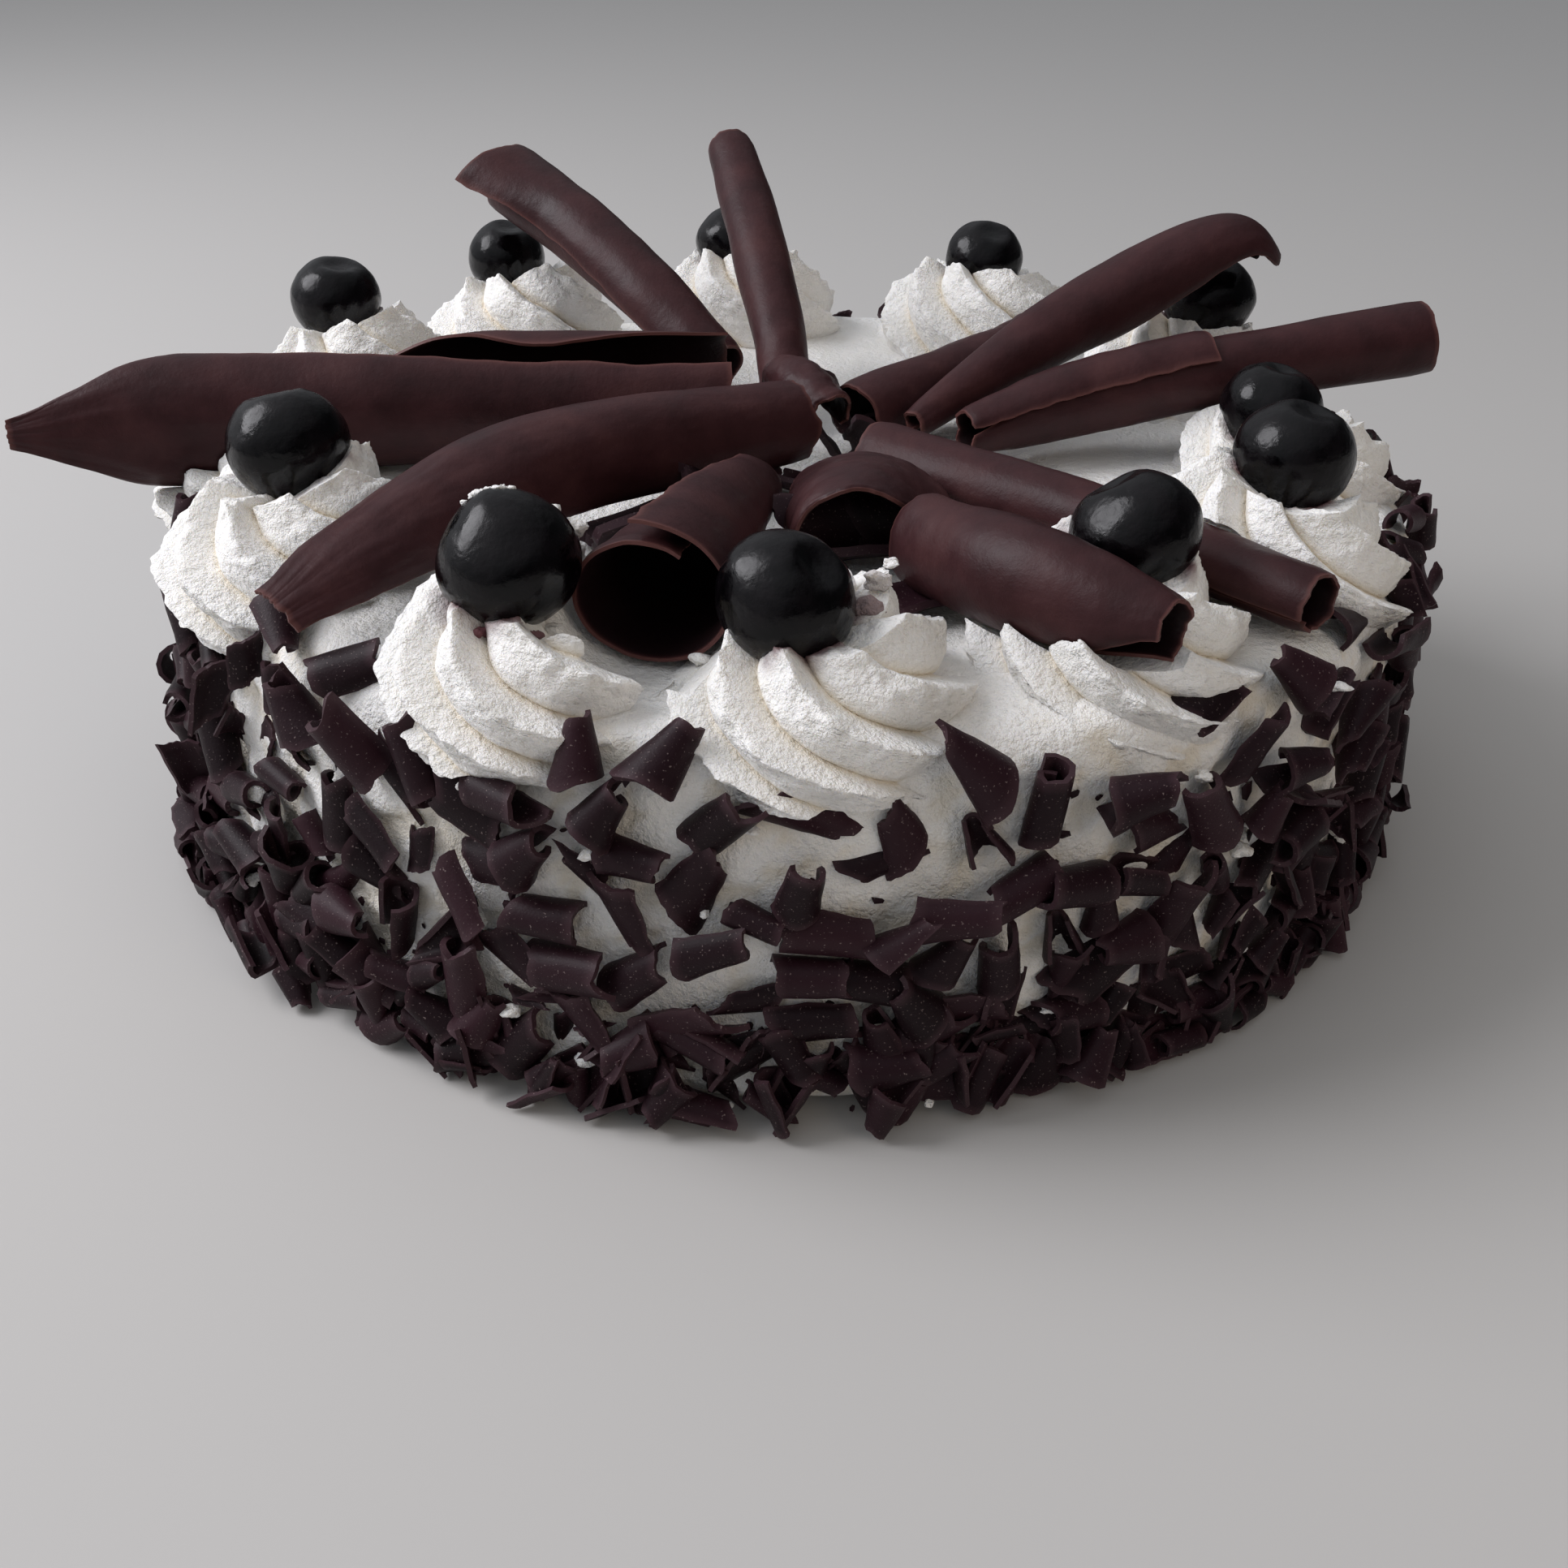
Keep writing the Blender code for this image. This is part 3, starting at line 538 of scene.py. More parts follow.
# axis: points from the inner to the outer end in mm. roll: at a share of the length, the radius in mm and
# the angles of the sheet's two edges, from 0 at the top. turn: how many mm the radius shrinks in a full
# turn. flat: height of the section as a share of its width. reach: share of the length that the sheet has
# at a share of its width. flare: how much the first edge stands off the roll, as a share of the radius, and
# where that begins. cleared: how far the cream is gone in front of the roll's mouth, in mm.
CURLS = {
    "curl_left_leaf": {
        "axis": ((-11, 3, 84), (-58, -1, 84), (-105, -9, 83.4), (-151, -20, 83)),
        "roll": ((0, 10.9, -38, -335), (0.3, 11.2, -38, -385), (0.6, 11.8, -12, -250),
                 (0.8, 13, -5, -160), (1, 12.5, -72, -88)),
        "turn": -1.6,
    },
    "curl_front_left_leaf": {
        "axis": ((3, -11, 83), (-47, -47, 83.5), (-83, -92, 72)),
        "roll": ((0, 7.5, 85, -160), (0.35, 9.5, 70, -140), (0.6, 10.5, 45, -115), (0.87, 9.5, 35, -80),
                 (1, 8.5, 0, -60)),
    },
    "curl_back_left_scroll": {
        "axis": ((-14, 29, 80.5), (-38, 54, 97.5), (-67, 83, 111)),
        "roll": ((0, 7, -95, 285), (0.5, 8.2, -95, 285), (1, 9, -80, 270)),
        "turn": 2.2,
        "flare": (0.8, 0.75),
    },
    "curl_back_scroll": {
        "axis": ((0, 19, 77), (-1, 34, 86), (-7.5, 64, 103), (-14.2, 91, 117)),
        "roll": ((0, 5.2, 90, -290), (0.6, 6.6, 90, -290), (1, 5.6, 90, -290)),
        "turn": 1.9,
    },
    "curl_right_hook": {
        "axis": ((27, 0, 79), (48, 17, 88), (71, 33, 96), (97, 42, 105.5), (107, 45, 99)),
        "roll": ((0, 3, 150, -190), (0.5, 8.3, 140, -170), (0.72, 8, 100, -120), (1, 6.5, 45, -45)),
        "turn": 1.5,
    },
    "curl_right_short": {
        "axis": ((15, 5.5, 78.7), (46, 34.6, 81.4), (58, 46, 83)),
        "roll": ((0, 7, 120, -220), (1, 7.5, 120, -220)),
        "turn": 1.5,
    },
    "curl_right_long": {
        "axis": ((38, -5, 78.5), (62, 4.7, 82.8), (94, 11.4, 88.3), (138, 20.6, 93.5)),
        "roll": ((0, 5, 60, -280), (0.25, 7.6, 60, -350), (0.45, 8.4, 60, -440), (0.74, 8.6, 60, -540),
                 (1, 9.2, 60, -540)),
        "turn": 1.9,
        "reach": ((0, 0.63), (0.38, 0.63), (0.43, 1), (1, 1)),
    },
    "curl_right_front_scroll": {
        "axis": ((19, -16, 77.6), (57, -50, 77.8), (90.5, -85, 77)),
        "roll": ((0, 7.3, 100, -240), (1, 5.8, 100, -240)),
        "turn": 1.6,
    },
    "curl_front_right_scoop": {
        "axis": ((25, -64, 79.5), (40, -89, 82.8), (61, -108, 82.5)),
        "roll": ((0, 6.9, 165, -175), (0.45, 8.2, 152, -185), (0.62, 8.1, 142, -190), (0.8, 7.2, 128, -190),
                 (1, 4.8, 88, -170)),
        "turn": 1,
        "flat": 1.14,
    },
    "curl_front_scroll": {
        "axis": ((-6.5, -40, 79.5), (-14, -67, 81.5), (-21, -98, 82.8)),
        "roll": ((0, 7.5, 10, -380), (1, 15, 10, -395)),
        "turn": 4,
        "flat": 0.85,
        "cleared": 12,
    },
    "curl_front_arch": {
        "axis": ((15.5, -46.5, 68.6), (14.6, -53.5, 74), (13.9, -60.5, 77), (13.5, -66, 77.3)),
        "roll": ((0, 20, 43, -53), (0.33, 15, 62, -71), (0.66, 12, 90, -97), (1, 10.8, 112, -118)),
        "reach": ((0, 1), (0.4, 0.9), (1, 0.74)),
    },
    "curl_centre_scrap": {
        "axis": ((0, 12, 85), (4.5, 4, 85.5), (10, -5, 82)),
        "roll": ((0, 5, 150, -150), (1, 5.5, 110, -130)),
        "turn": 1.5,
    },
}


def smooth(x, rows, column):
    """A column of rows read at x, with its corners rounded off."""
    table = np.array(rows, dtype=float)
    steps = (-0.04, -0.02, 0, 0.02, 0.04)
    return sum(np.interp(x + step, table[:, 0], table[:, column]) for step in steps) / len(steps)


def axis_frames(axis, share):
    """Points on a smooth line through the axis points, with the directions along, up and right of it."""
    knots = np.array(axis, dtype=float) * MM
    knots = np.vstack([2 * knots[0] - knots[1], knots, 2 * knots[-1] - knots[-2]])
    place = np.clip(share, 0, 1) * (len(knots) - 3)
    first = np.minimum(place.astype(int), len(knots) - 4)
    f = (place - first)[:, None]
    p0, p1, p2, p3 = (knots[first + step] for step in range(4))
    a = p2 - p0
    b = 2 * p0 - 5 * p1 + 4 * p2 - p3
    c = 3 * p1 - 3 * p2 + p3 - p0
    point = (2 * p1 + a * f + b * f ** 2 + c * f ** 3) / 2
    along = a + 2 * b * f + 3 * c * f ** 2
    along /= np.linalg.norm(along, axis=1)[:, None]
    up = np.array(UP) - along * along[:, 2:]
    up /= np.linalg.norm(up, axis=1)[:, None]
    return point, along, up, np.cross(along, up)


def roll_points(curl, length_share, width_share, seed):
    """Points of a curl's rolled and torn sheet, for arrays of shares of its length and width."""
    share = length_share * np.interp(width_share, *zip(*curl.get("reach", ((0, 1), (1, 1)))))
    point, along, up, right = axis_frames(curl["axis"], share)
    radius = smooth(share, curl["roll"], 1) * MM
    start = smooth(share, curl["roll"], 2)
    end = smooth(share, curl["roll"], 3)
    swept = (end - start) * width_share
    radius -= curl.get("turn", 0) * MM * np.abs(swept) / 360
    if "flare" in curl:
        flare, begin = curl["flare"]
        grown = np.clip((share - begin) / (1 - begin), 0, 1)
        rise = flare * np.clip(1 - width_share / 0.22, 0, 1) ** 1.5
        radius *= 1 + grown * rise
    # The noise is read on the sheet as it lay on the block, about 60 by 50 mm.
    flat = np.stack([length_share * 60 * MM, width_share * 50 * MM, length_share * 0], axis=1)
    side = 2 * width_share - 1
    swept += np.sign(side) * np.abs(side) ** 7 * 5 * lumps(flat * (1, 0, 0), 9 * MM, seed, 4)
    uneven = FACETS * lumps(flat, 14 * MM, seed + 1, 2) + RIPPLES * lumps(flat, 5 * MM, seed + 2, 2)
    radius += uneven * MM
    angle = np.radians(start + swept)
    point = point + up * (radius * curl.get("flat", 1) * np.cos(angle))[:, None]
    point += right * (radius * np.sin(angle))[:, None]
    # A narrow tip is torn less than a broad end.
    width = radius * np.radians(np.abs(end - start))
    tear = CURL_TEAR * MM * lumps(flat * (0, 1, 0), 9 * MM, seed + 3, 4)
    tear *= np.clip(width / (25 * MM), 0.1, 1)
    return point + along * (tear * np.abs(2 * length_share - 1) ** 9)[:, None]


# %% Curls
def make_curl(number, node, curl):
    """A curl: a flat grid that is rolled up, torn at its edges and given a wall."""
    piece = grid_piece("shaved_" + node, 110, 90)
    flat = points_of(piece)
    u, v = flat[:, 0], flat[:, 1]
    put_points(piece, roll_points(curl, u, v, 10 * number))
    rim = np.minimum(np.minimum(u, 1 - u) * 1.6, np.minimum(v, 1 - v))
    mark(piece, "edge", 1 - rim / 0.014)
    # Ten steps from the rim inwards, over which the wall thickens.
    wall = piece.vertex_groups.new(name="wall")
    for step in range(11):
        near = np.flatnonzero(np.round(np.clip(rim / 0.05, 0, 1) * 10) == step)
        wall.add([int(i) for i in near], step / 10, "REPLACE")
    apply_modifier(
        piece,
        "SOLIDIFY",
        thickness=CURL_WALL,
        offset=0,
        vertex_group="wall",
        thickness_vertex_group=CURL_RIM,
    )
    face_outwards(piece)
    # Solidify makes two layers with the same order of points. The one that faces the axis is the inner face.
    normals = np.empty(len(piece.data.vertices) * 3)
    piece.data.vertices.foreach_get("normal", normals)
    middle = np.tile(axis_frames(curl["axis"], u)[0], (2, 1))
    facing = np.sum(normals.reshape(-1, 3) * (middle - points_of(piece)), axis=1)
    # The face that looks towards the axis gets painted shade, fading out towards the rim.
    inside = np.clip(facing / (3 * MM), 0, 1) * np.clip(np.tile(rim, 2) / 0.02, 0, 1)
    mark(piece, "inner", 0.9 * inside)
    return piece


for number, (node, curl) in enumerate(CURLS.items(), 1):
    piece = make_curl(number, node, curl)
    faces = finish_piece(piece, curl_chocolate, (node,), 35)
print("curls:", len(CURLS), "with", faces, "faces each")

# %% [markdown]
# ## Room for the curls
# Where a curl lies on a swirl, the soft cream gives way. A tube of the curl's own size, pulled from a ball,
# is cut out of each swirl it passes, so the cream stops at the chocolate and does not show inside the open
# rolls.

# %% Cuts in the swirls
# Up to this sweep in degrees, a curl is an open trough and not a tube.
OPEN_SWEEP = 200
CUT_GAP = 0.3 * MM
# How far the cut goes past each end of the curl, in mm.
CUT_PAST_ENDS = 1.6
# The ends of the tube close over this share of the ball.
CAP_SHARE = 0.025


def curl_tool(curl):
    """The space that a curl fills, with the inside of its roll, as one closed body."""
    tool = ball_piece("curl_room", 40, 40)
    ball = points_of(tool)
    share = np.arccos(np.clip(ball[:, 2], -1, 1)) / math.pi
    turn = (np.arctan2(ball[:, 1], ball[:, 0]) / (2 * math.pi)) % 1
    length = np.clip((share - CAP_SHARE) / (1 - 2 * CAP_SHARE), 0, 1)
    pole = np.clip(np.minimum(share, 1 - share) / CAP_SHARE, 0, 1)
    point, along, up, right = axis_frames(curl["axis"], length)
    past = (2 * length - 1) * CUT_PAST_ENDS * MM + length ** 8 * curl.get("cleared", 0) * MM
    point += along * past[:, None]
    radius = smooth(length, curl["roll"], 1) * MM
    start, end = smooth(length, curl["roll"], 2), smooth(length, curl["roll"], 3)
    radius += max(0, -curl.get("turn", 0)) * MM * np.abs(end - start) / 360 + CURL_WALL / 2 + CUT_GAP
    beyond = np.degrees(2 * CURL_WALL / radius)
    middle = curl["roll"][len(curl["roll"]) // 2]
    open_roll = abs(middle[3] - middle[2]) <= OPEN_SWEEP
    sweep = np.abs(end - start) + 2 * beyond if open_roll else 360
    angle = np.radians((np.maximum(start, end) + beyond if open_roll else 0) - sweep * turn)
    # An open roll's section is its arc and the straight line between the arc's two ends.
    place = up * (radius * curl.get("flat", 1) * np.cos(angle) * pole)[:, None]
    place += right * (radius * np.sin(angle) * pole)[:, None]
    put_points(tool, point + place)
    face_outwards(tool)
    return tool


cuts = 0
for curl in CURLS.values():
    tool = curl_tool(curl)
    way = axis_frames(curl["axis"], np.linspace(0, 1, 25))[0]
    for swirl, row in zip(swirls, ROSETTES):
        gaps = np.linalg.norm(way[:, :2] - np.array(rosette_middle(row).xy), axis=1)
        if gaps.min() < (row[2] * 1.1 + 12) * MM:
            apply_modifier(swirl, "BOOLEAN", operation="DIFFERENCE", solver="MANIFOLD", object=tool)
            cuts += 1
    bpy.data.objects.remove(tool)
for number, swirl in enumerate(swirls, 1):
    faces = finish_piece(swirl, cream, (f"rosette_{number:02d}",), 60)
    print(f"swirl {number}: {faces} faces")
print("cuts:", cuts)

# %% [markdown]
# ## Cherries
# Each cherry is a ball that is a little flat, with the hollow where its stem was, and lies turned its own
# way. The skin of a preserved cherry is shrunken, so it has shallow dents that break up the highlight.

# %% Cherries
# The second cherry lies with its pointed end up.
EGG_SHAPED = 2
for number, (x, y, z, size) in enumerate(CHERRIES, 1):
    piece = ball_piece(f"syrup_cherry_{number:02d}", 56, 40)
    rows = points_of(piece)
    pit = np.clip((rows[:, 2] - 0.86) / 0.14, 0, 1) ** 2
    dents = 0.03 * lumps(rows, 0.8, number, 3) - 0.06 * np.maximum(0, lumps(rows, 1.1, number + 20, 1))
    rows *= (1 + dents)[:, None]
    if number == EGG_SHAPED:
        rows[:, :2] *= 1 - 0.2 * np.clip(rows[:, 2:], 0, 1) ** 1.5
        turn = Matrix.Rotation(math.radians(-14), 3, "Y")
    else:
        rows[:, 2] = rows[:, 2] * 0.94 - 0.16 * pit
        tilt = math.radians(25 + 17 * math.sin(x))
        turn = Matrix.Rotation(x + y, 3, "Z") @ Matrix.Rotation(tilt, 3, "X")
    rows = rows @ np.array(turn).T * size * MM + np.array([x, y, z]) * MM
    put_points(piece, rows)
    finish_piece(piece, cherry_skin, (f"cherry_{number:02d}",), 60)
print("cherries:", len(CHERRIES))

# %% [markdown]
# ## Flakes on the side
# Small shavings were thrown and pressed against the cream, thickly at the base and thinly under the swirls.
# A dozen kinds of flake are rolled once each: broad shards, half pipes, closed rolls and cones. The large
# flakes at the front have their own places. Copies of each kind then fill the rest, piled up at the base,
# and the copies of a kind are joined into one mesh.

# %% Flake kinds
# Length, radius and wall in mm, arc of the roll in degrees, how much narrower one end is, how slanted the
# ends are, and how much the roll tightens.
KINDS = {
    "shard_broad": (13, 7.0, 1.0, 85, 0.15, 0.25, 0.0),
    "shard_cut": (13, 6.0, 1.0, 110, 0.5, -0.4, 0.05),
    "shard_torn": (12, 5.6, 1.0, 130, 0.6, 0.5, 0.0),
    "pipe_half": (14, 4.2, 1.0, 175, 0.15, 0.2, 0.1),
    "pipe_bent": (13, 4.7, 1.0, 205, 0.3, -0.25, 0.15),
    "roll_open": (13, 4.1, 1.0, 270, 0.1, 0.3, 0.25),
    "roll_shut": (12, 3.8, 1.0, 330, 0.2, -0.2, 0.3),
    "roll_tight": (14, 3.5, 1.0, 420, 0.1, 0.25, 0.45),
    "cone_open": (12, 5.2, 1.0, 250, 0.6, 0.3, 0.2),
    "cone_shut": (11, 5.4, 1.0, 330, 0.5, -0.4, 0.35),
    "cone_half": (14, 4.8, 1.0, 200, 0.7, 0.5, 0.1),
    "splinter": (9, 3.2, 0.8, 110, 0.5, 0.6, 0.0),
}
CRUMB_KINDS = ("crumb_flat", "crumb_long")
# How far the ends of a flake are torn, in mm.
FLAKE_TEAR = 1.4


def flake_model(number, row):
    """One flake along X with the middle of its arc upwards."""
    length, radius, wall, arc, taper, slant, spiral = row
    piece = grid_piece(f"flake_model_{number}", 6, 12)
    flat = points_of(piece)
    u, v = flat[:, 0], flat[:, 1]
    side = 2 * v - 1
    bend = math.radians(arc) * (v - 0.5)
    bend += np.sign(side) * side ** 4 * 0.16 * lumps(flat * (1, 0, 0), 0.3, number + 3, 3)
    roll = radius * (1 - taper * u) * (1 - spiral * v) * (1 + 0.07 * lumps(flat, 0.5, number, 2))
    first = -length / 2 * (1 + slant * side) + FLAKE_TEAR * lumps(flat * (0, 1, 0), 0.3, number + 5, 3)
    last = length / 2 * (1 - slant * side) + FLAKE_TEAR * lumps(flat * (0, 1, 0), 0.3, number + 25, 3)
    rows = np.stack([first + (last - first) * u, roll * np.sin(bend), roll * np.cos(bend)], axis=1) * MM
    put_points(piece, rows)
    rim = np.minimum(np.minimum(u, 1 - u), np.minimum(v, 1 - v)) < 0.01
    mark(piece, "edge", rim * 0.8)
    apply_modifier(piece, "SOLIDIFY", thickness=wall * MM, offset=0)
    face_outwards(piece)
    return piece


def crumb_model(number):
    """An angular crumb."""
    start_piece()
    bpy.ops.mesh.primitive_ico_sphere_add(subdivisions=1, radius=1)
    piece = bpy.context.object
    piece.name = piece.data.name = f"crumb_model_{number}"
    rows = points_of(piece)
    rows *= (1 + 0.5 * lumps(rows, 0.6, number, 1))[:, None] * (1.2 + 0.5 * number, 0.9, 0.5)
    put_points(piece, rows * MM)
    mark(piece, "edge", np.full(len(rows), 0.2))
    return piece


models = {kind: flake_model(number, row) for number, (kind, row) in enumerate(KINDS.items())}
models.update({kind: crumb_model(number) for number, kind in enumerate(CRUMB_KINDS)})
print("kinds of flake:", len(models), "with", len(models["pipe_half"].data.polygons), "faces")

# %% Places on the side
SEED = 11
# How deep a flake is pressed into the cream, and the gap that keeps it off the cream's top and the table.
BITE = 1.0 * MM
LAID_GAP = 0.4 * MM
# Broken scraps on the top, between the large curls: place in mm, turn, tilt and roll in degrees, kind and
# size.
TOP_SCRAPS = (
    (14, -52, 15, 4, 180, "shard_broad", 1.75),
    (26, -74, 40, 10, 180, "shard_broad", 1.2),
    (7, -45, 8, 0, 80, "shard_broad", 1.25),
    (22, -44, -8, 0, 80, "shard_broad", 1.25),
    (-27, -42, 40, 5, 160, "shard_broad", 2.0),
    (-22, -30, 60, 15, 20, "shard_broad", 1.7),
    (2, -6, 60, 35, 20, "shard_broad", 1.2),
    (9, 6, -30, 50, -20, "shard_cut", 1.1),
    (-7, -16, 20, 25, 0, "cone_open", 1.0),
    (14, -6, 100, 20, 60, "shard_torn", 1.1),
    (6, -20, -20, 12, 170, "shard_broad", 1.1),
    (24, 14, 45, 15, 0, "pipe_half", 0.9),
)
# The large flakes that show at the front: angle round the cake in degrees, height in mm, turn from level in
# degrees, kind and size.
FRONT_FLAKES = (
    (-165, 66, 95, "roll_open", 1.0),
    (-161, 57, 80, "roll_shut", 1.1),
    (-156, 64, 60, "pipe_half", 1.0),
    (-152, 60, -50, "cone_open", 1.1),
    (-149, 51, 80, "pipe_half", 1.0),
    (-131.5, 61, 120, "cone_shut", 1.15),
    (-124.3, 60, 118, "roll_open", 1.2),
    (-119.5, 59.5, 112, "roll_tight", 1.15),
    (-111.5, 58.5, 5, "roll_open", 1.05),
    (-106.5, 66, 90, "cone_open", 0.95),
    (-100.3, 66.5, 57, "cone_open", 1.1),
    (-104, 59, 55, "cone_shut", 1.0),
    (-115, 52.5, -28, "shard_broad", 1.15),
    (-109.5, 49.5, 45, "cone_shut", 1.05),
    (-95.7, 58.3, 50, "pipe_half", 1.0),
    (-101.8, 49.6, 0, "pipe_bent", 0.9),
    (-97, 47, 60, "shard_cut", 1.2),
    (-89.8, 59, -30, "shard_cut", 1.2),
    (-89.9, 48.5, 80, "pipe_bent", 1.0),
    (-83.7, 56, 110, "shard_torn", 1.0),
    (-84.5, 50, 20, "splinter", 1.2),
    (-127.9, 43, 87, "pipe_half", 1.1),
    (-122, 54, -50, "splinter", 1.3),
    (-123.4, 42, -35, "pipe_half", 1.0),
    (-114.5, 36.7, -50, "pipe_half", 1.05),
    (-108.4, 36.3, 180, "roll_shut", 1.1),
    (-101.6, 40, -70, "shard_cut", 1.1),
    (-95.5, 36, 25, "pipe_bent", 1.05),
    (-105.7, 28, 12, "pipe_half", 1.1),
    (-87.5, 38.3, -6, "pipe_half", 1.2),
    (-100.7, 28.6, 40, "pipe_bent", 1.0),
    (-96.9, 23, 25, "shard_broad", 1.2),
    (-88.3, 30.5, 0, "roll_open", 1.0),
    (-84, 28.6, 170, "roll_shut", 1.1),
    (-87.6, 21, 5, "pipe_half", 1.1),
    (-92.4, 14, 30, "shard_cut", 1.2),
    (-134.6, 34, 70, "shard_broad", 1.1),
    (-125.8, 25.5, 10, "cone_open", 1.0),
    (-114.4, 21.4, 88, "pipe_half", 1.2),
    (-109.3, 11.3, 50, "pipe_bent", 1.1),
    (-78.8, 42.5, 8, "pipe_bent", 1.15),
    (-79, 65.6, 135, "cone_half", 1.15),
    (-73.2, 59.3, 86, "roll_tight", 1.1),
    (-70, 44.2, 165, "roll_shut", 1.15),
    (-66.2, 59.8, 20, "cone_shut", 1.1),
    (-58.9, 67.8, 20, "shard_broad", 1.1),
    (-58.7, 51.5, 120, "pipe_bent", 1.2),
    (-63.2, 50, -10, "shard_torn", 1.1),
    (-78.8, 33.6, 60, "cone_open", 0.9),
    (-74.8, 31, 100, "roll_open", 1.0),
    (-79.6, 18, 42, "pipe_half", 1.15),
    (-76, 23.4, 0, "shard_broad", 1.1),
    (-59.9, 33.8, 80, "pipe_half", 1.2),
    (-65.8, 23, 30, "shard_broad", 1.2),
)
# The share of that size at which they are laid.
FRONT_SHARE = 0.88
FILL_TRIES = 9000
PILE_COUNT = 230
CRUMB_COUNT = 420
# At shares of the height of the flaked band, how far apart the flakes lie in mm.
FLAKED_BAND = 66 * MM
BAND_LEVELS = (0, 0.25, 0.55, 1)
BAND_SPACING = (5.0, 5.9, 7.6, 12.5)
# How much closer they lie at the two sides than at the front and back.
CLOSER_AT_SIDES = 0.42


def side_frame(angle, height):
    """Point on the cake's side, with the outward, sideways and climbing directions."""
    edge = DRUM_HEIGHT - DRUM_EDGE_RADIUS
    radius = DRUM_BASE_RADIUS + (DRUM_TOP_RADIUS - DRUM_BASE_RADIUS) * min(height, edge) / edge
    tilt = 0
    if height > edge:
        tilt = min((height - edge) / DRUM_EDGE_RADIUS, math.pi / 2)
        radius -= DRUM_EDGE_RADIUS * (1 - math.cos(tilt))
        height = edge + DRUM_EDGE_RADIUS * math.sin(tilt)
    outward = Vector((math.cos(angle), math.sin(angle), 0))
    normal = outward * math.cos(tilt) + UP * math.sin(tilt)
    point = outward * radius + UP * height
    point.x += LEAN * point.z
    side = UP.cross(outward)
    return point, normal, side, normal.cross(side)


def lay_flake(kind, angle, height, turn, size, roll, skew, lift=0.0):
    """Points of a flake laid on the cream with its axis turned from level and its lowest edge sunk in."""
    point, normal, side, climb = side_frame(angle, height)
    along = (side * math.cos(turn) + climb * math.sin(turn) + normal * skew).normalized()
    across = normal.cross(along).normalized()
    out = along.cross(across)
    rows = shapes[kind] @ np.array(Matrix.Rotation(roll, 3, "X")).T * size
    rows = rows @ np.array((along, across, out))
    depth = (rows @ np.array(normal)).min()
    rows += np.array(point + normal * (lift - depth - BITE))
    rows[:, 2] += max(0, LAID_GAP - rows[:, 2].min())
    return rows


def lay_scrap(x, y, turn, tilt, roll, kind, size):
    """Points of a flake that lies on the top of the cake."""
    turned = Matrix.Rotation(math.radians(turn), 3, "Z") @ Matrix.Rotation(math.radians(tilt), 3, "Y")
    turned @= Matrix.Rotation(math.radians(roll), 3, "X")
    rows = shapes[kind] @ np.array(turned).T * size
    return rows + np.array((x * MM, y * MM, DRUM_HEIGHT + LAID_GAP - rows[:, 2].min()))


def under_swirl(point):
    """Whether a place is inside the foot of a swirl."""
    if point.z < ROSETTE_FOOT + 1 * MM:
        return False
    return any((point - rosette_middle(row)).xy.length < row[2] * MM * 0.88 for row in ROSETTES)


def spacing(angle, height):
    """How far apart flakes lie: close at the base, wide under the swirls, closer again at the two sides."""
    at_sides = math.cos(angle) ** 2
    level = height / FLAKED_BAND
    wide = np.interp(level, BAND_LEVELS, BAND_SPACING)
    return wide * (1 - CLOSER_AT_SIDES * at_sides * min(level, 1)) * MM


shapes = {kind: points_of(model) for kind, model in models.items()}
laid = {kind: [] for kind in models}
taken = []
draw = random.Random(SEED)
for angle, height, turn, kind, size in FRONT_FLAKES:
    angle, height = math.radians(angle), height * MM
    taken.append(side_frame(angle, height)[0])
    roll, skew = math.radians(draw.uniform(-30, 30)), draw.uniform(-0.05, 0.45)
    rows = lay_flake(kind, angle, height, math.radians(turn), FRONT_SHARE * size, roll, skew)
    laid[kind].append(rows)
for attempt in range(FILL_TRIES):
    angle = draw.uniform(-math.pi, math.pi)
    height = draw.uniform(3, 71) * MM
    point = side_frame(angle, height)[0]
    if under_swirl(point) or min((point - other).length for other in taken) < spacing(angle, height):
        continue
    taken.append(point)
    kind = draw.choice(list(KINDS))
    roll = math.radians(draw.choice((0, 0, 0, 180, 90, -90)) + draw.uniform(-25, 25))
    size = draw.uniform(0.6, 1.0)
    turn, skew = draw.uniform(0, 2 * math.pi), draw.uniform(-0.1, 0.4)
    laid[kind].append(lay_flake(kind, angle, height, turn, size, roll, skew))
# A second layer leans on the first at the base, where the flakes that fell off were pushed back.
for i in range(PILE_COUNT):
    angle = 2 * math.pi * (i + draw.uniform(-0.4, 0.4)) / PILE_COUNT
    height = draw.uniform(0, 17) * MM
    lift = draw.uniform(1.0, 4.0) * MM * (1 - height / (22 * MM))
    kind = draw.choice(list(KINDS))
    size = draw.uniform(0.45, 0.85)
    roll = draw.uniform(0, 2 * math.pi)
    laid[kind].append(lay_flake(kind, angle, height, draw.uniform(0, 2 * math.pi), size, roll, 0.0, lift))
for i in range(CRUMB_COUNT):
    angle = draw.uniform(-math.pi, math.pi)
    height = 68 * MM * draw.random() ** 1.8 + 1 * MM
    if not under_swirl(side_frame(angle, height)[0]):
        kind = draw.choice(CRUMB_KINDS)
        size = draw.uniform(0.5, 1.4)
        turn, roll = draw.uniform(0, 2 * math.pi), draw.uniform(0, 6)
        laid[kind].append(lay_flake(kind, angle, height, turn, size, roll, 0, BITE))
crumbs = sum(len(laid[kind]) for kind in CRUMB_KINDS)
print("flakes:", sum(len(laid[kind]) for kind in KINDS), "crumbs:", crumbs)


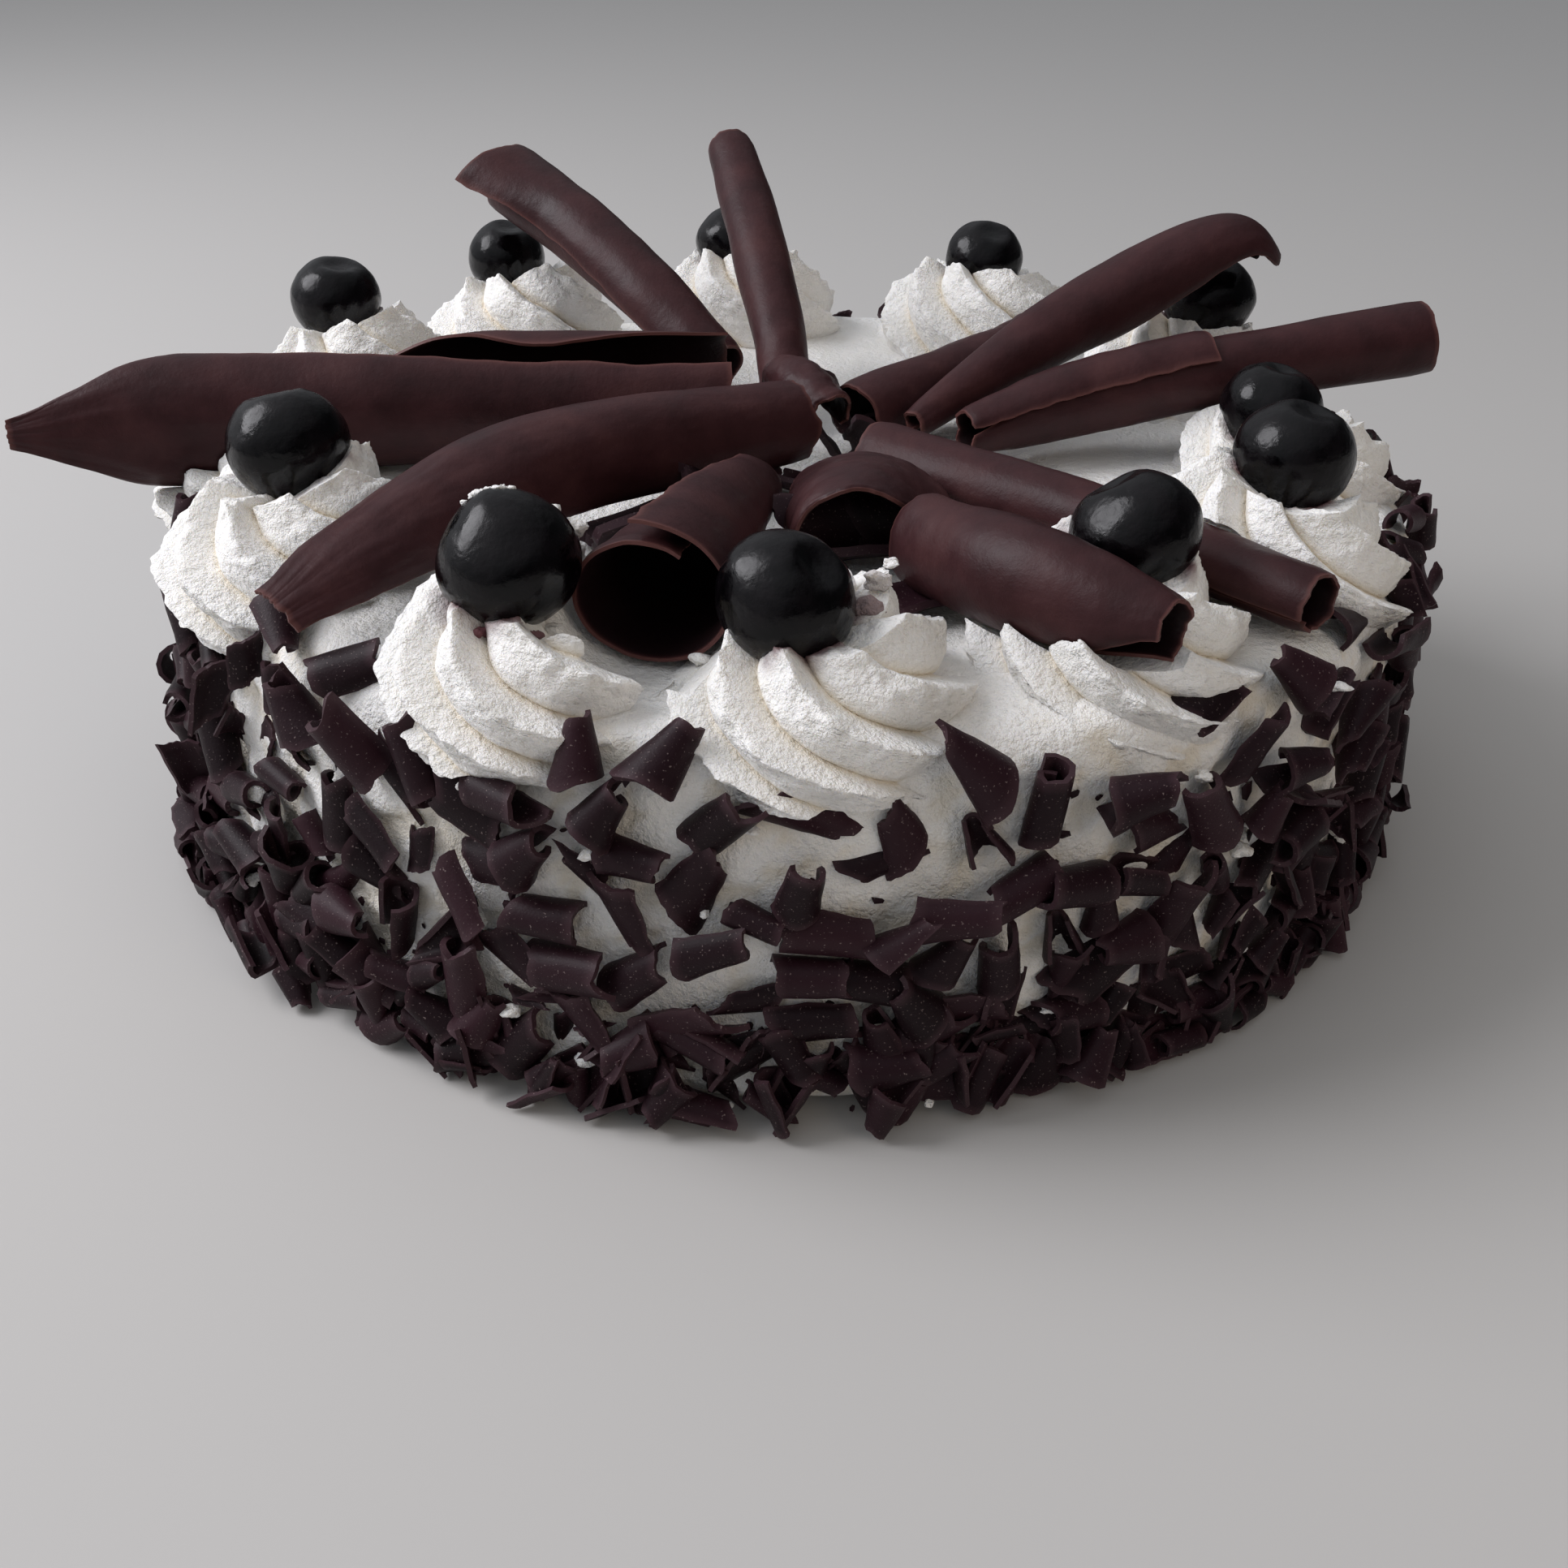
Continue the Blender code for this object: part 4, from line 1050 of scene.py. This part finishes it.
# %% Flakes
def join_copies(name, model, copies):
    """All copies of one model, joined into one piece with the model's edge numbers and a shade per copy."""
    faces = [list(face.vertices) for face in model.data.polygons]
    count = len(model.data.vertices)
    polygons = [[i + count * copy for i in face] for copy in range(len(copies)) for face in faces]
    mesh = bpy.data.meshes.new(name)
    mesh.from_pydata(np.concatenate(copies).tolist(), [], polygons)
    piece = bpy.data.objects.new(name, mesh)
    bpy.context.scene.collection.objects.link(piece)
    edge = np.empty(count, dtype=np.float32)
    model.data.attributes["edge"].data.foreach_get("value", edge)
    mark(piece, "edge", np.tile(edge, len(copies)))
    mark(piece, "shade", np.repeat([draw.random() for _ in copies], count))
    face_outwards(piece)
    return piece


for *place, kind, size in TOP_SCRAPS:
    laid[kind].append(lay_scrap(*place, kind, size))
for kind, model in models.items():
    piece = join_copies("side_flakes_" + kind, model, laid[kind])
    faces = finish_piece(piece, flake_chocolate, ("cake_body",))
    print(f"{piece.name}: {len(laid[kind])} copies, {faces} faces")
    bpy.data.objects.remove(model)

# %% [markdown]
# ## Dabs of cream
# Where a curl or a cherry was set down, the cream was torn up into small peaks or picked up in dabs, and
# the flakes near the base are smeared with it. Each dab is a small ball made lumpy with noise. They are all
# joined into one piece.

# %% Cream dabs
# Middle and size in mm of each dab at the cherries and on the curls' rims, and how much juice is in it.
DABS = (
    (-37.0, -99.5, 82.5, 2.4, 0.1),
    (-35.5, -101.0, 78.5, 2.8, 0.0),
    (-12.5, -101.0, 73.5, 3.0, 0.0),
    (24.0, -61.0, 74.5, 2.6, 0.0),
    (14.2, -104.0, 84.0, 5.0, 0.75),
    (15.5, -102.0, 88.0, 4.2, 0.3),
    (12.6, -107.0, 80.0, 4.6, 0.95),
    (17.5, -101.0, 90.5, 2.8, 0.1),
    (-46.0, -107.0, 80.3, 2.6, 0.95),
    (-41.5, -108.0, 80.0, 2.4, 0.8),
    (-37.5, -106.5, 80.0, 2.2, 0.9),
    (-37.6, -86.5, 87.0, 6.5, 0.0),
    (-37.4, -87.0, 92.0, 5.0, 0.0),
    (-34.0, -86.0, 85.0, 5.0, 0.0),
    (-33.2, -86.0, 89.5, 3.8, 0.1),
)
# A ragged line of cream lies over the egg-shaped cherry, between these angles from its top in degrees.
LINE_FROM, LINE_TO, LINE_DABS = -36, 2, 12
SMEARS = 160


def dab_points(number, place, size):
    """Points of a lumpy ball about a place."""
    rows = dab_ball * (1 + 0.7 * lumps(dab_ball, 0.6, number, 4))[:, None]
    sizes = (size * draw.uniform(0.8, 1.3), size * draw.uniform(0.6, 1), size * draw.uniform(0.5, 1))
    return rows * sizes + place


start_piece()
bpy.ops.mesh.primitive_ico_sphere_add(subdivisions=3, radius=0.5)
dab_model = bpy.context.object
dab_ball = points_of(dab_model)
mark(dab_model, "edge", np.zeros(len(dab_ball)))
copies = [dab_points(i, np.array(row[:3]) * MM, row[3] * MM) for i, row in enumerate(DABS)]
x, y, z, size = CHERRIES[EGG_SHAPED - 1]
for i in range(LINE_DABS):
    angle = math.radians(LINE_FROM + (LINE_TO - LINE_FROM) * i / (LINE_DABS - 1))
    over = Vector((math.sin(angle), draw.uniform(0.1, 0.35), math.cos(angle))).normalized()
    place = np.array((x, y, z)) * MM + np.array(over) * size * 0.95 * MM
    copies.append(dab_points(i + 10, place, draw.uniform(0.9, 1.7) * MM))
for i in range(SMEARS):
    angle = draw.uniform(-math.pi, math.pi)
    height = 62 * MM * draw.random() ** 1.5 + 3 * MM
    point, normal, *_ = side_frame(angle, height)
    place = np.array(point + normal * draw.uniform(1, 3.5) * MM)
    copies.append(dab_points(i + 30, place, draw.uniform(1.2, 4.0) * MM))
piece = join_copies("cream_dabs", dab_model, copies)
juice = [row[4] for row in DABS] + [0.0] * (len(copies) - len(DABS))
mark(piece, "stain", np.repeat(juice, len(dab_ball)))
faces = finish_piece(piece, cream, ("cake_body",), 60)
bpy.data.objects.remove(dab_model)
print("cream dabs:", len(copies), "with", faces, "faces")

# %% [markdown]
# ## Studio
# The floor is plain and pale. A wide soft light hangs high on the left, which gives each cherry its pale
# highlight and lets the swirls shade themselves towards the right. A weak warm light at the front right
# lifts the near side and is not mirrored, and the sky fills the shadows.

# %% Floor, lights and camera
floor_finish, tree, shader = new_material("pale_studio_floor", 0.8)
shader.inputs["Base Color"].default_value = linear("B9B7B4")
start_piece()
bpy.ops.mesh.primitive_plane_add(size=8)
floor = bpy.context.object
floor.name = floor.data.name = "studio_floor"
floor.data.materials.append(floor_finish)

world = bpy.data.worlds.new("studio_sky")
world.use_nodes = True
sky = world.node_tree
direction = add(sky, "TexCoord").outputs["Generated"]
# The sky is bright towards the light and dim behind the camera, so the near sides of dark things stay dark.
facing = add(sky, "VectorMath", {0: direction, 1: (-0.55, 0.0, 0.83)}, operation="DOT_PRODUCT")
bright = remap(sky, facing.outputs["Value"], 0.0, 0.97, 0.05, 0.85)
background = sky.nodes["Background"]
background.inputs["Color"].default_value = linear("EDF0F6")
sky.links.new(bright, background.inputs["Strength"])
bpy.context.scene.world = world
LIT_POINT = Vector((0, 0, 0.05))


def soft_light(name, place, size, power, colour, mirrored=True):
    """A round soft light that faces the cake."""
    lamp = bpy.data.lights.new(name, "AREA")
    lamp.shape = "DISK"
    lamp.size = size
    lamp.energy = power
    lamp.color = linear(colour)[:3]
    piece = bpy.data.objects.new(name, lamp)
    bpy.context.scene.collection.objects.link(piece)
    piece.location = place
    piece.visible_glossy = mirrored
    piece.rotation_euler = (LIT_POINT - Vector(place)).to_track_quat("-Z", "Y").to_euler()


soft_light("window_light", (-0.95, 0.0, 0.85), 0.9, 14.5, "FBFAFF")
soft_light("warm_fill", (0.9, -0.9, 0.6), 0.9, 3.2, "FFEEDC", mirrored=False)

camera = bpy.data.objects.new("photo_camera", bpy.data.cameras.new("photo_camera"))
bpy.context.scene.collection.objects.link(camera)
bpy.context.scene.camera = camera
# The camera stands where the photograph was taken from: its place in metres, its right and its up.
CAMERA_PLACE = Vector((0.001389, -0.346369, 0.194661))
CAMERA_RIGHT = Vector((0.99992, 0.00630, 0.01071))
CAMERA_UP = Vector((-0.01242, 0.50672, 0.86202))
camera.data.sensor_width = 36
camera.data.lens = 39.13
camera.data.clip_start = 10 * MM
turn = Matrix((CAMERA_RIGHT, CAMERA_UP, CAMERA_RIGHT.cross(CAMERA_UP))).transposed().to_4x4()
camera.matrix_world = Matrix.Translation(CAMERA_PLACE) @ turn
bpy.context.scene.view_settings.view_transform = "Standard"
print("camera at", [round(value, 3) for value in camera.location])
